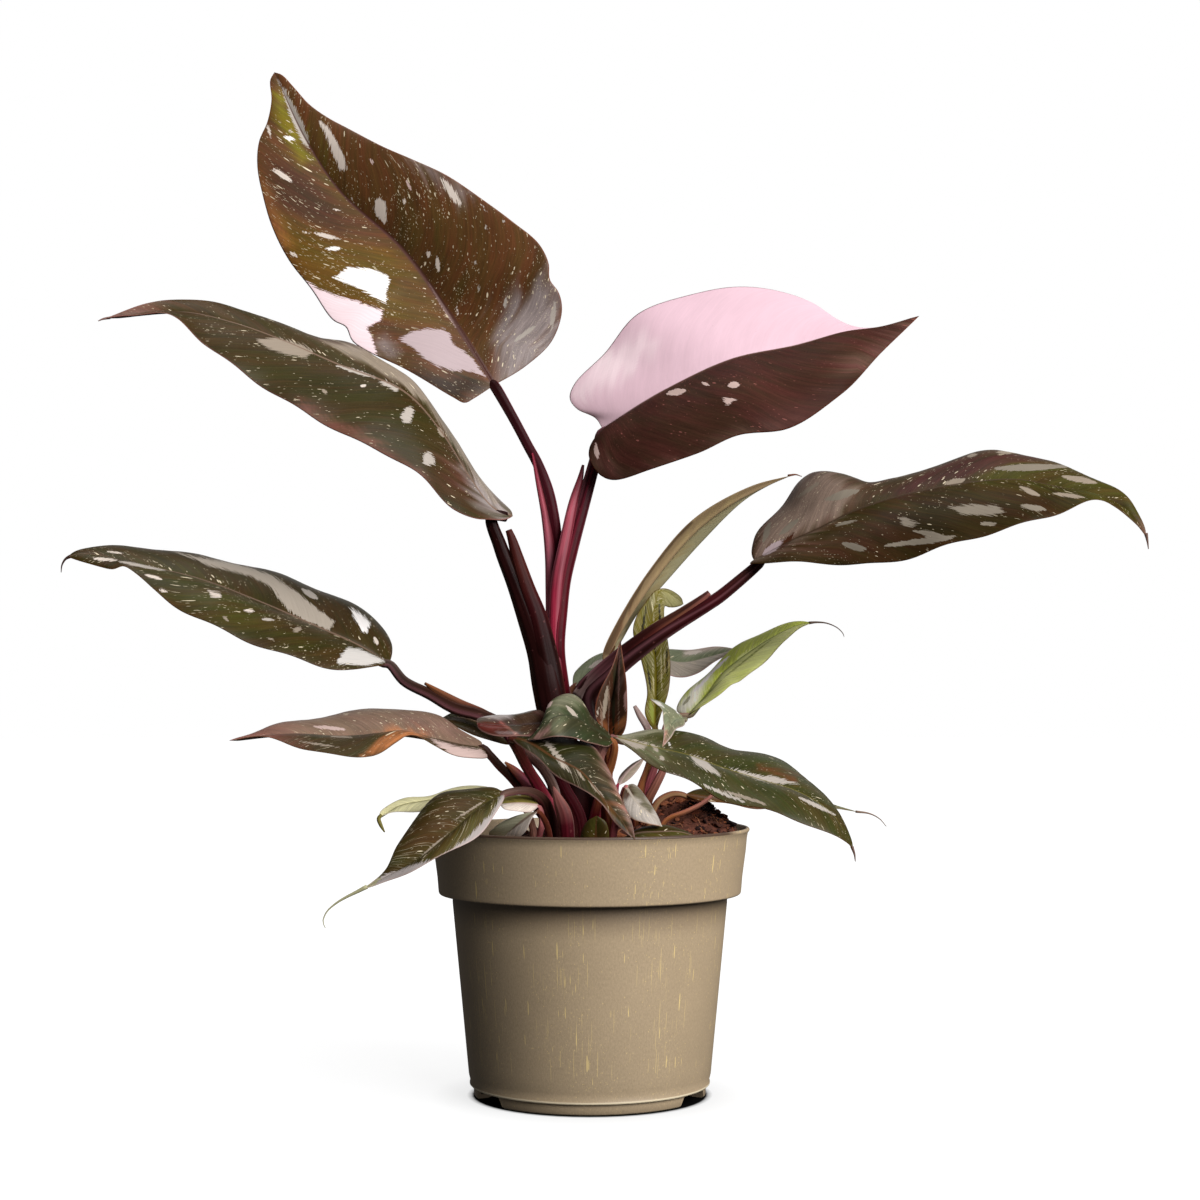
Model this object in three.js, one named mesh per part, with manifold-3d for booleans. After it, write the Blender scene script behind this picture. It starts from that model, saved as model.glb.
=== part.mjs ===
// Potted philodendron with dark splashed leaves, in millimetres, +Z up.
// The origin is at the middle of the pot's base, on the surface that the pot stands on.

import * as THREE from 'three';
import { mergeVertices } from 'three/addons/utils/BufferGeometryUtils.js';
import Module from 'manifold-3d';

const wasm = await Module();
wasm.setup();

// Driving dimensions of the pot
const rimRadius = 60;          // a 12 cm nursery pot, over its lip
const rimTop = 99.3;
const lipHeight = 3;
const collarTopRadius = 58.8;  // just under the lip
const collarBottomRadius = 56.7;
const collarBottom = 75;
const bodyTopRadius = 51.5;
const seamRadius = 44.9;
const seamHeight = 4.2;
const footRadius = 43.3;
const wall = 1.6;
const floorThickness = 1.8;
const potSides = 48;

// Drain notches through the foot of the pot
const drainCount = 3;
const drainWidth = 18;
const drainHeight = 3.4;
const drainInner = 35;
const drainOuter = 50;

// Potting mix
const soilGap = 0.4;           // between the mix and the pot
const soilEdgeHeight = 91;
const soilCrown = 6;           // rise from the edge to the middle
const heapCentre = [38, 6];    // a heap of loose bark to the right of the stem
const heapHeight = 16;
const heapSpread = 20;
const soilRings = 5;
const soilSides = 36;

// Leaves and stalks
const bladeThickness = 0.9;
const clearance = 0.3;         // gap between pieces that lie against each other
const stalkSides = 8;
const largeBlade = { rows: 10, halfColumns: 4 };
const smallBlade = { rows: 7, halfColumns: 2 };
const stemSides = 16;

const colours = {
  pot: 0x76705c,
  soil: 0x3a2218,
  darkLeaf: 0x4a322a,
  greenLeaf: 0x4b5034,
  paleLeaf: 0xe9cdd6,
  stalk: 0x5c1526,
};

// Each blade has a midrib from its base to its tip and the margins on its two sides.
// The margins start at the base and end at the tip, so only the points between are listed.
const blades = [
  {
    name: 'leaf_top', size: largeBlade, colour: colours.darkLeaf,
    midrib: [[-37, 12, 268], [-55, 19, 297], [-74, 26, 324], [-99, 33, 348], [-114, 38, 371], [-126, 44, 399]],
    left: [[-48, 6, 261], [-72, 6, 274], [-91, 8, 284], [-94, 9, 290], [-99, 10, 293], [-107, 14, 305],
      [-122, 22, 328], [-130, 30, 356], [-127, 39, 387]],
    right: [[-25, 16, 276], [-15, 18, 286], [-11, 16, 297], [-15, 11, 308], [-16, 10, 315], [-30, 14, 332],
      [-56, 22, 351], [-83, 30, 366], [-104, 37, 380], [-117, 41, 391]],
  },
  {
    name: 'leaf_pink', size: largeBlade, colour: colours.paleLeaf,
    midrib: [[5, 6, 250], [16, 2, 257], [30, 0, 265], [54, 0, 276], [79, 4, 282], [98, 8, 288], [113, 13, 291],
      [128, 18, 296]],
    left: [[2, 10, 255], [-5, 14, 259], [-8, 18, 264], [-6, 21, 270], [5, 25, 282], [19, 30, 299], [47, 34, 309],
      [69, 34, 310], [88, 30, 303], [100, 22, 291], [114, 20, 293]],
    right: [[0, 0, 243], [0, -5, 237], [4, -9, 231], [9, -12, 229], [22, -18, 232], [40, -22, 238], [54, -24, 244],
      [73, -22, 247], [94, -12, 261], [111, 4, 279]],
  },
  {
    name: 'leaf_high_left', size: largeBlade, colour: colours.darkLeaf,
    midrib: [[-34, -17, 215], [-45, -20, 230], [-55, -24, 246], [-68, -27, 260], [-93, -30, 270], [-112, -33, 278],
      [-130, -36, 284], [-147, -40, 287], [-173, -50, 283]],
    left: [[-34, -23, 213], [-42, -29, 213], [-49, -34, 216], [-64, -41, 230], [-90, -47, 243], [-117, -50, 259],
      [-136, -52, 273], [-150, -52, 284], [-163, -51, 284]],
    right: [[-28, -13, 216], [-35, -7, 223], [-47, 0, 238], [-61, 4, 258], [-72, 5, 271], [-91, 3, 282],
      [-103, -4, 284], [-115, -12, 287], [-127, -22, 291], [-149, -34, 293], [-159, -42, 290]],
  },
  {
    name: 'leaf_mid_left', size: largeBlade, colour: colours.greenLeaf,
    midrib: [[-77, 2, 161], [-89, 0, 168], [-100, -2, 173], [-125, -6, 184], [-146, -10, 192], [-171, -14, 197],
      [-183, -17, 200], [-192, -19, 201], [-195, -20, 194]],
    left: [[-78, -6, 160], [-87, -16, 158], [-97, -24, 159], [-118, -32, 166], [-143, -34, 177], [-159, -30, 187],
      [-172, -24, 196], [-180, -22, 196], [-188, -20, 199]],
    right: [[-76, 6, 162], [-76, 12, 168], [-80, 18, 175], [-89, 23, 182], [-117, 26, 194], [-147, 22, 201],
      [-175, 6, 205], [-187, -8, 204]],
  },
  {
    name: 'leaf_high_right', size: largeBlade, colour: colours.darkLeaf,
    midrib: [[61, -18, 198], [74, -22, 205], [85, -25, 210], [97, -28, 216], [113, -32, 221], [134, -37, 225],
      [154, -42, 226], [168, -45, 223], [181, -48, 220], [191, -51, 214], [197, -54, 200]],
    left: [[60, -16, 201], [61, -12, 206], [63, -8, 210], [72, 0, 220], [80, 6, 230], [87, 10, 234], [93, 11, 233],
      [101, 6, 227], [113, -2, 228], [127, -5, 233], [139, -7, 237], [151, -9, 240], [168, -22, 235],
      [184, -40, 226], [191, -48, 220]],
    right: [[59, -22, 197], [67, -32, 197], [83, -42, 196], [97, -50, 195], [108, -55, 196], [132, -62, 203],
      [160, -62, 211], [178, -58, 217], [186, -55, 215], [193, -55, 209]],
  },
  {
    name: 'leaf_low_left', size: largeBlade, colour: colours.darkLeaf,
    midrib: [[-39, -28, 130], [-47, -31, 131], [-56, -34, 133], [-70, -38, 135], [-87, -44, 134], [-106, -50, 135],
      [-126, -58, 133]],
    left: [[-37, -34, 126], [-46, -42, 127], [-55, -47, 131], [-63, -48, 134], [-68, -52, 132], [-76, -60, 128],
      [-84, -62, 127], [-98, -62, 130], [-113, -58, 134]],
    right: [[-40, -22, 132], [-48, -14, 136], [-58, -8, 141], [-78, -8, 143], [-97, -18, 140], [-112, -36, 138],
      [-120, -48, 135]],
  },
  {
    name: 'leaf_low_right', size: largeBlade, colour: colours.greenLeaf,
    midrib: [[10, -28, 133], [22, -36, 130], [36, -42, 127], [47, -47, 123], [60, -52, 119], [73, -57, 115],
      [84, -62, 108], [89, -65, 100], [91, -67, 92]],
    left: [[13, -24, 134], [24, -12, 136], [41, -6, 133], [54, -8, 127], [68, -14, 125], [75, -20, 122],
      [83, -38, 113], [89, -54, 105], [91, -61, 99]],
    right: [[11, -35, 132], [19, -50, 126], [34, -63, 119], [49, -71, 112], [66, -75, 108], [81, -73, 102],
      [87, -70, 99], [91, -68, 95]],
  },
  {
    name: 'leaf_over_rim', size: largeBlade, colour: colours.darkLeaf,
    midrib: [[-30, -48, 114], [-38, -60, 110], [-48, -69, 101], [-58, -74, 93], [-71, -76, 86], [-82, -76, 81],
      [-88, -76, 76], [-89, -76, 70]],
    left: [[-34, -46, 116], [-42, -46, 116], [-52, -50, 114], [-61, -58, 106], [-66, -67, 97], [-69, -73, 90],
      [-73, -76, 85.5], [-82, -76, 82], [-89, -76, 76]],
    right: [[-30, -56, 112], [-32, -64, 108], [-37, -72, 102], [-46, -78, 96], [-59, -80, 90], [-68, -78, 86],
      [-82, -77, 80], [-87, -76, 75]],
  },
  {
    name: 'leaf_pale_left', size: smallBlade, colour: colours.greenLeaf,
    midrib: [[-32, -34, 114], [-47, -36, 113], [-57, -38, 111], [-68, -40, 109], [-75, -41, 105], [-73, -42, 100]],
    left: [[-34, -40, 112], [-46, -43, 109], [-61, -43, 107], [-70, -42, 107], [-73, -42, 105]],
    right: [[-37, -28, 115], [-49, -27, 115], [-58, -31, 112], [-66, -35, 111], [-72, -39, 109], [-76, -41, 106]],
  },
  {
    name: 'leaf_front_hanging', size: largeBlade, colour: colours.greenLeaf,
    midrib: [[-28, -44, 134], [-21, -49, 132], [-13, -54, 127], [-3, -58, 122], [4, -61, 114], [10, -63, 107],
      [15, -64, 100]],
    left: [[-26, -48, 132], [-19, -55, 127], [-13, -60, 122], [-4, -63, 117], [5, -65, 110], [9, -65, 105]],
    right: [[-24, -38, 134], [-13, -34, 134], [-6, -34, 133], [0, -39, 131], [4, -46, 127], [8, -54, 121],
      [12, -60, 111], [15, -63, 104]],
  },
  {
    name: 'leaf_curled', size: smallBlade, colour: colours.darkLeaf,
    midrib: [[-14, -33, 139], [-23, -40, 138], [-32, -46, 138], [-40, -48, 139]],
    left: [[-18, -41, 134], [-26, -49, 134], [-34, -52, 135], [-39, -50, 137]],
    right: [[-18, -28, 143], [-28, -33, 141.5], [-36, -40, 141], [-40, -46, 140]],
  },
  {
    name: 'leaf_arched', size: smallBlade, colour: colours.greenLeaf,
    midrib: [[9, -32, 132], [1, -38, 137], [-6, -43, 141], [-12, -46, 141], [-16, -48, 138], [-22, -49, 133]],
    left: [[6, -38, 130], [0, -47, 132], [-5, -51, 134], [-12, -54, 134], [-17, -52, 133]],
    right: [[6, -31, 136], [0, -31, 142], [-4, -31, 148], [-8, -33, 149], [-14, -37, 146], [-16, -41, 142],
      [-18, -45, 137]],
  },
  {
    name: 'leaf_spear', size: smallBlade, colour: colours.darkLeaf,
    midrib: [[7, -24, 131], [6, -25, 142], [8, -25, 152], [11, -25, 172]],
    left: [[3, -29, 136], [1, -31, 142], [3, -31, 150], [7, -28, 161]],
    right: [[12, -29, 135], [14, -31, 143], [14, -31, 151], [12, -28, 161]],
  },
  {
    name: 'leaf_strap', size: smallBlade, colour: colours.greenLeaf,
    midrib: [[5, 8, 160], [11, 12, 173], [24, 18, 193], [40, 26, 212], [55, 33, 224], [70, 40, 232], [85, 47, 237]],
    left: [[5, 4, 165], [10, 7, 176], [23, 13, 197], [40, 22, 217], [63, 35, 231]],
    right: [[10, 14, 166], [19, 22, 181], [28, 26, 191], [44, 34, 209], [60, 40, 225]],
  },
  {
    name: 'leaf_green_fold', size: smallBlade, colour: colours.greenLeaf,
    midrib: [[25, 14, 133], [26, 14, 147], [26, 14, 162], [23, 15, 176], [26, 18, 186], [31, 22, 189],
      [35, 27, 187], [38, 31, 183]],
    left: [[21, 9, 142], [21, 7, 151], [19, 7, 164], [16, 8, 173], [21, 13, 183], [26, 19, 189], [31, 25, 191],
      [36, 30, 188]],
    right: [[30, 9, 142], [30, 7, 156], [31, 7, 165], [29, 9, 174], [28, 14, 182], [31, 20, 183], [35, 26, 183]],
  },
  {
    name: 'leaf_back_grey', size: smallBlade, colour: colours.greenLeaf,
    midrib: [[-7, 26, 152], [4, 30, 158], [20, 35, 160], [36, 40, 161], [48, 43, 164], [58, 45, 167]],
    left: [[-6, 32, 158], [5, 38, 165], [20, 43, 166], [39, 48, 167], [49, 48, 168]],
    right: [[-2, 22, 150], [19, 26, 152], [32, 31, 156], [42, 36, 157], [50, 41, 162]],
  },
  {
    name: 'leaf_bright_green', size: smallBlade, colour: colours.greenLeaf,
    midrib: [[37, 0, 141], [44, 6, 148], [51, 12, 157], [60, 18, 164], [71, 24, 171], [82, 30, 176], [92, 35, 177],
      [100, 38, 171]],
    left: [[33, 8, 143], [37, 14, 150], [51, 24, 163], [66, 32, 174], [78, 33, 178], [92, 36, 178]],
    right: [[40, -6, 143], [48, -6, 149], [57, 0, 154], [67, 10, 162], [76, 21, 170], [83, 29, 175],
      [92, 34, 176]],
  },
  {
    name: 'leaf_small_drooping', size: smallBlade, colour: colours.greenLeaf,
    midrib: [[35, -14, 140], [31, -24, 139], [28, -34, 135], [26, -41, 130]],
    left: [[31, -10, 143], [25, -12, 146], [22, -18, 147], [25, -28, 143], [26, -36, 136]],
    right: [[35, -20, 138], [32, -28, 137], [29, -36, 133]],
  },
  {
    name: 'leaf_white_low', size: smallBlade, colour: colours.paleLeaf,
    midrib: [[13, -32, 116], [17, -38, 110], [22, -42, 106], [26, -44, 102]],
    left: [[16, -27, 116], [20, -30, 112], [24, -37, 107]],
    right: [[12, -38, 112], [15, -44, 105], [20, -46, 103]],
  },
  {
    name: 'leaf_behind_right', size: smallBlade, colour: colours.darkLeaf,
    midrib: [[35, -14, 112], [49, -8, 110], [72, 4, 109], [94, 14, 106], [108, 20, 102], [115, 22, 98]],
    left: [[42, -6, 114], [61, 8, 114], [81, 15, 110.5], [94, 16, 107], [104, 19, 104]],
    right: [[41, -18, 110], [61, -10, 107], [80, 3, 106], [93, 12, 105], [104, 18, 103]],
  },
  {
    name: 'leaf_rim_front', size: smallBlade, colour: colours.greenLeaf,
    midrib: [[12, -40, 93], [16, -43, 99], [24, -44, 100], [32, -42, 100], [39, -40, 98]],
    left: [[12, -36, 96], [17, -38, 101], [24, -37, 102], [33, -37, 100]],
    right: [[15, -45, 94], [19, -48, 97], [27, -47, 97], [34, -43, 97]],
  },
  {
    name: 'leaf_dark_stub', size: smallBlade, colour: colours.darkLeaf,
    midrib: [[2, -47, 92], [3, -49, 100], [4, -51, 106]],
    left: [[-3, -46, 97], [0, -48, 103]],
    right: [[7, -48, 97], [6, -50, 103]],
  },
  {
    name: 'leaf_white_left', size: smallBlade, colour: colours.paleLeaf,
    midrib: [[-18, -48, 108], [-25, -45, 103], [-32, -38, 97]],
    left: [[-26, -42, 106], [-33, -38, 102], [-36, -34, 99]],
    right: [[-20, -49, 105], [-22, -48, 101], [-26, -45, 98]],
  },
  {
    name: 'leaf_small_left', size: smallBlade, colour: colours.greenLeaf,
    midrib: [[-18, -36, 109], [-25, -41, 110], [-32, -44, 110]],
    left: [[-21, -41, 107], [-25, -45, 107], [-30, -46, 108]],
    right: [[-22, -32, 112], [-28, -36, 113], [-31, -41, 112]],
  },
  {
    name: 'leaf_speckled_back', size: smallBlade, colour: colours.greenLeaf,
    midrib: [[-28, 2, 130], [-38, 0, 136], [-47, -2, 140], [-56, -4, 140]],
    left: [[-33, -4, 130], [-43, -6, 134], [-52, -6, 138]],
    right: [[-34, 6, 140], [-45, 3, 143], [-52, 0, 142]],
  },
  {
    name: 'leaf_tiny_grey', size: smallBlade, colour: colours.greenLeaf,
    midrib: [[10, -12, 115], [14, -10, 120], [19, -8, 125]],
    left: [[12, -8, 120], [16, -6, 124]],
    right: [[13, -13, 117], [17, -12, 121]],
  },
];

// A stalk is a list of centre points with its radius there. A sheath is the winged edge
// that stands beside the stalk, grown together with it.
const stalks = [
  {
    name: 'stalk_top',
    line: [[-37, 12, 268, 2.2], [-29.5, 10, 255, 2.2], [-23.7, 8, 244, 2.2], [-19.8, 6, 237, 2.3],
      [-15.6, 4, 227, 2.6], [-13.3, 3.2, 218, 2.7], [-12.2, 3.4, 208, 2.8], [-12.5, 3.6, 192, 3],
      [-13, 2, 173, 3.3], [-13, 2, 151, 3.5], [-12, 1, 118, 3.6]],
    sheath: [[-22, 5, 241, 0.6], [-18.2, 2.5, 225, 1.6], [-15.8, 1, 210, 2], [-14.6, 0.6, 195, 2.4],
      [-14, 0, 180, 2.6]],
  },
  {
    name: 'stalk_pink',
    line: [[4.5, 5.5, 248.5, 2.2], [3, 5, 242, 2.3], [-1, 3, 227, 2.5], [-4, 1, 216, 2.7], [-7, -1, 204, 3],
      [-10, -3, 192, 3.2], [-11, -5, 180, 3.3], [-11, -7, 166, 3.5], [-9, -4, 148, 3.6], [-6, -3, 118, 3.6]],
    sheath: [[-2.6, 2, 235, 0.6], [-5.5, 0, 222, 1.5], [-9, -2, 206, 1.9], [-12, -4, 190, 2.2],
      [-12.5, -6, 178, 2.4]],
  },
  {
    name: 'stalk_high_left',
    line: [[-34, -17, 215, 2.2], [-32, -17, 203, 2.7], [-27, -17, 189.5, 3.4], [-22, -17, 176, 4.2],
      [-18, -17, 164, 5], [-15.5, -18, 152, 5.6], [-13, -17, 136, 5.6], [-13, -15, 118, 5]],
    sheath: [[-30, -19, 209, 0.6], [-26.5, -19, 199, 1.6], [-22.5, -19, 187, 2.4], [-18, -18, 174, 3.2]],
  },
  {
    name: 'stalk_high_right',
    line: [[60.3, -18, 197.5, 2.1], [54, -18, 190, 2.1], [43, -18, 182, 2.4], [25, -17, 171, 3.4],
      [6, -14, 156.5, 4.6], [-1.5, -14, 148, 4.8], [1, -15, 134, 4.8], [2, -15, 118, 4.4]],
    sheath: [[44, -19, 186.5, 0.6], [36, -19, 181.5, 1.4], [25, -19, 174.5, 2], [12, -17, 165, 2.6]],
  },
  {
    name: 'stalk_mid_left',
    line: [[-76, 2, 160.4, 1.9], [-70, -1, 154, 2], [-60, -4, 149, 2.2], [-50.5, -7, 144, 2.4], [-39, -9, 137, 2.6],
      [-28, -11, 126, 2.8], [-19.5, -12.5, 113, 3], [-19, -12, 104, 3], [-19, -12, 88, 2.8]],
    sheath: [[-62, -4, 153.5, 0.6], [-52, -6, 147.5, 1.4], [-42, -8, 142, 1.8], [-34, -10, 135, 2],
      [-28, -11, 128, 2.2]],
  },
  {
    name: 'stalk_low_left',
    line: [[-39, -28, 130, 1.8], [-30, -26, 124, 2.2], [-24, -23, 116, 2.8], [-18, -20, 108, 3.4],
      [-15, -20, 98, 4], [-14, -20, 88, 3.4]],
    sheath: [[-31, -27, 126, 0.6], [-26, -25.5, 121, 1.6], [-21, -23, 114, 2.2], [-17, -21, 106, 2.6]],
  },
  {
    name: 'stalk_over_rim',
    line: [[-30, -48, 114, 1.6], [-22, -42, 115, 1.8], [-16, -33, 110, 2], [-13, -30, 100, 2.1],
      [-12, -29, 88, 2]],
  },
  {
    name: 'stalk_pale_left',
    line: [[-31.3, -33.6, 113.4, 1.1], [-25, -30, 110, 1.2], [-21, -27, 102, 1.3], [-19.5, -26, 88, 1.3]],
  },
  {
    name: 'stalk_front_hanging',
    line: [[-27.5, -43.6, 132.8, 1.8], [-24, -41, 128, 2], [-19, -35, 119.5, 2.2], [-14, -27, 109, 2.4],
      [-8, -22.5, 98, 2.3], [-7, -22, 88, 2.2]],
  },
  {
    name: 'stalk_arched',
    line: [[9, -31.6, 130.8, 1.5], [8, -28, 124, 1.6], [4, -25, 113, 1.7], [1, -22, 100, 1.8], [1, -21.5, 88, 1.8]],
  },
  {
    name: 'stalk_curled',
    line: [[-14, -32.7, 137.8, 1.4], [-14, -33, 128, 1.5], [-9, -30, 116, 1.7], [-3, -27, 104, 1.8],
      [-2, -26, 88, 1.8]],
  },
  {
    name: 'stalk_low_right',
    line: [[10.2, -27.6, 131.8, 1.9], [12, -27, 126, 2], [14, -24, 112, 2.1], [13, -23, 100, 2.2],
      [13, -23, 88, 2.2]],
  },
  {
    name: 'stalk_spear',
    line: [[7, -23.5, 129.8, 1.5], [7, -22, 121, 1.6], [6, -19, 110, 1.7], [6, -18, 100, 1.8], [6, -18, 88, 1.8]],
  },
  {
    name: 'stalk_strap',
    line: [[5, 8, 158.8, 1.7], [4, 6, 150.5, 1.8], [3, 4, 135.5, 1.9], [3, 1, 117, 2], [3, 2, 98, 2.1],
      [3, 2, 88, 2.1]],
  },
  {
    name: 'stalk_green_fold',
    line: [[25, 13.8, 131.8, 1.4], [25, 9, 124, 1.5], [23, 6, 113, 1.6], [22, 5, 103, 1.7], [22, 5, 88, 1.7]],
  },
  {
    name: 'stalk_back_grey',
    line: [[-7.2, 25.6, 150.8, 1.4], [-8, 19, 144, 1.4], [-9, 12, 130, 1.6], [-8, 9, 115, 1.7], [-7, 8, 103, 1.8],
      [-7, 8, 88, 1.8]],
  },
  {
    name: 'stalk_bright_green',
    line: [[37, 0, 141, 1.3], [33, 2, 134, 1.4], [29, 2, 124, 1.5], [27, 1, 113, 1.6], [27, 0, 103, 1.6],
      [27, 0, 88, 1.6]],
  },
  {
    name: 'stalk_small_drooping',
    line: [[35.6, -12.8, 139.6, 1.1], [36, -7, 139, 1.2], [36, -3, 134, 1.2], [34, -3, 122, 1.3], [32, -5, 110, 1.3],
      [31, -6, 100, 1.3], [31, -6, 88, 1.3]],
  },
  {
    name: 'stalk_white_low',
    line: [[12.8, -31.2, 114.8, 1.2], [11, -30, 108, 1.3], [9, -29, 100, 1.3], [8, -28.5, 88, 1.3]],
  },
  {
    name: 'stalk_behind_right',
    line: [[34, -14.2, 112, 1.2], [30, -14.5, 112, 1.2], [25, -15, 109, 1.3], [22, -15, 101, 1.4],
      [21, -15, 88, 1.4]],
  },
  {
    name: 'stalk_bent',
    line: [[46, -22, 113, 0.9], [41, -22, 109, 1.1], [35, -22, 106, 1.2], [28, -22, 103, 1.3], [25, -22, 97, 1.3],
      [25, -22, 88, 1.3]],
  },
  {
    name: 'stalk_small_left',
    line: [[-17.6, -35.6, 107.8, 1], [-17, -36.5, 103, 1.1], [-18, -35, 98, 1.1], [-18.5, -34, 88, 1.1]],
  },
  {
    name: 'stalk_white_left',
    line: [[-17.4, -46.8, 107, 1], [-15, -42, 102, 1.1], [-14, -39, 96, 1.1], [-14, -38, 88, 1.1]],
  },
  {
    name: 'stalk_speckled_back',
    line: [[-28, 2, 130, 1.3], [-22, 1, 120, 1.4], [-18.5, 0, 110, 1.4], [-18, 0, 100, 1.5], [-18, 0, 88, 1.5]],
  },
  {
    name: 'stalk_tiny_grey',
    line: [[10, -12, 113.8, 0.9], [9.5, -11.5, 104, 1], [9.5, -11, 88, 1]],
  },
  {
    name: 'bud',
    line: [[-13, -38, 116, 0.6], [-11, -37.5, 111, 2], [-9, -37.5, 106, 2.8], [-8, -37, 98, 2.8],
      [-8, -36, 88, 2.2]],
  },
];

// The short upright stem that the leaf stalks wrap around
const mainStem = {
  name: 'main_stem',
  line: [[-6, -8, 129, 5], [-6, -8, 126, 8.4], [-6, -9, 118, 9.3], [-6, -9, 104, 9.6], [-6, -9, 88, 9]],
};

const vector = (p) => new THREE.Vector3(p[0], p[1], p[2]);

// Points evenly spread along a smooth curve through the given ones
function sampleCurve(points, steps) {
  const curve = new THREE.CatmullRomCurve3(points.map(vector), false, 'centripetal');
  return curve.getSpacedPoints(steps);
}

function solidFrom(positions, triangles) {
  const geometry = new THREE.BufferGeometry();
  geometry.setAttribute('position', new THREE.Float32BufferAttribute(positions, 3));
  geometry.setIndex(triangles);
  return solidOf(geometry);
}

function solidOf(geometry) {
  const bare = geometry.clone();
  bare.deleteAttribute('normal');
  bare.deleteAttribute('uv');
  const merged = mergeVertices(bare, 1e-4);
  const mesh = new wasm.Mesh({
    numProp: 3,
    vertProperties: new Float32Array(merged.attributes.position.array),
    triVerts: new Uint32Array(merged.index.array),
  });
  return new wasm.Manifold(mesh);
}

function geometryOf(solid) {
  const mesh = solid.getMesh();
  const geometry = new THREE.BufferGeometry();
  geometry.setAttribute('position', new THREE.Float32BufferAttribute(mesh.vertProperties, 3));
  geometry.setIndex(Array.from(mesh.triVerts));
  const flat = geometry.toNonIndexed();
  flat.computeVertexNormals();
  return mergeVertices(flat, 1e-5);
}

// In every solid below, swell makes it larger all round, for the gap to its neighbours.
// A leaf blade: rows run from the base to the tip, columns from the left margin over the
// midrib to the right margin. Both faces stand half the thickness off this surface.
function bladeSolid(blade, swell = 0) {
  const { rows, halfColumns } = blade.size;
  const columns = 2 * halfColumns;
  const base = blade.midrib[0];
  const tip = blade.midrib.at(-1);
  const middle = sampleCurve(blade.midrib, rows);
  const left = sampleCurve([base, ...blade.left, tip], rows);
  const right = sampleCurve([base, ...blade.right, tip], rows);

  const grid = [];
  for (let i = 1; i < rows; i += 1) {
    const row = [];
    for (let j = 0; j <= columns; j += 1) {
      const reach = Math.abs(j - halfColumns) / halfColumns;
      const edge = j < halfColumns ? left[i] : right[i];
      const out = edge.clone().sub(middle[i]);
      const scale = reach + (reach > 0.99 ? swell / Math.max(out.length(), 1) : 0);
      row.push(middle[i].clone().addScaledVector(out, scale));
    }
    grid.push(row);
  }

  const half = bladeThickness / 2 + swell;
  const offset = (i, j) => {
    const row = grid[i];
    const before = grid[Math.max(i - 1, 0)];
    const after = grid[Math.min(i + 1, grid.length - 1)];
    const along = after[j].clone().sub(before[j]);
    const across = row[Math.min(j + 1, columns)].clone().sub(row[Math.max(j - 1, 0)]);
    return across.cross(along).normalize().multiplyScalar(half);
  };
  const positions = [];
  const add = (p) => {
    positions.push(p.x, p.y, p.z);
    return positions.length / 3 - 1;
  };
  const faces = [1, -1].map((side) => grid.map((row, i) => row.map((p, j) => (
    add(p.clone().addScaledVector(offset(i, j), side))))));
  const ends = [1, -1].map((side) => [
    add(middle[0].clone().addScaledVector(offset(0, halfColumns), side)),
    add(middle[rows].clone().addScaledVector(offset(grid.length - 1, halfColumns), side)),
  ]);

  const triangles = [];
  const last = grid.length - 1;
  const put = (a, b, c, flip) => triangles.push(...(flip ? [a, c, b] : [a, b, c]));
  [0, 1].forEach((side) => {
    const face = faces[side];
    const flip = side === 1;
    for (let j = 0; j < columns; j += 1) {
      put(ends[side][0], face[0][j + 1], face[0][j], flip);
      put(ends[side][1], face[last][j], face[last][j + 1], flip);
      for (let i = 0; i < last; i += 1) {
        put(face[i][j], face[i][j + 1], face[i + 1][j + 1], flip);
        put(face[i][j], face[i + 1][j + 1], face[i + 1][j], flip);
      }
    }
  });
  const outline = (side) => [
    ends[side][0],
    ...faces[side].map((row) => row[columns]),
    ends[side][1],
    ...faces[side].map((row) => row[0]).reverse(),
  ];
  const top = outline(0);
  const bottom = outline(1);
  top.forEach((a, k) => {
    const next = (k + 1) % top.length;
    put(a, bottom[k], bottom[next], false);
    put(a, bottom[next], top[next], false);
  });
  return solidFrom(positions, triangles);
}

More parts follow.
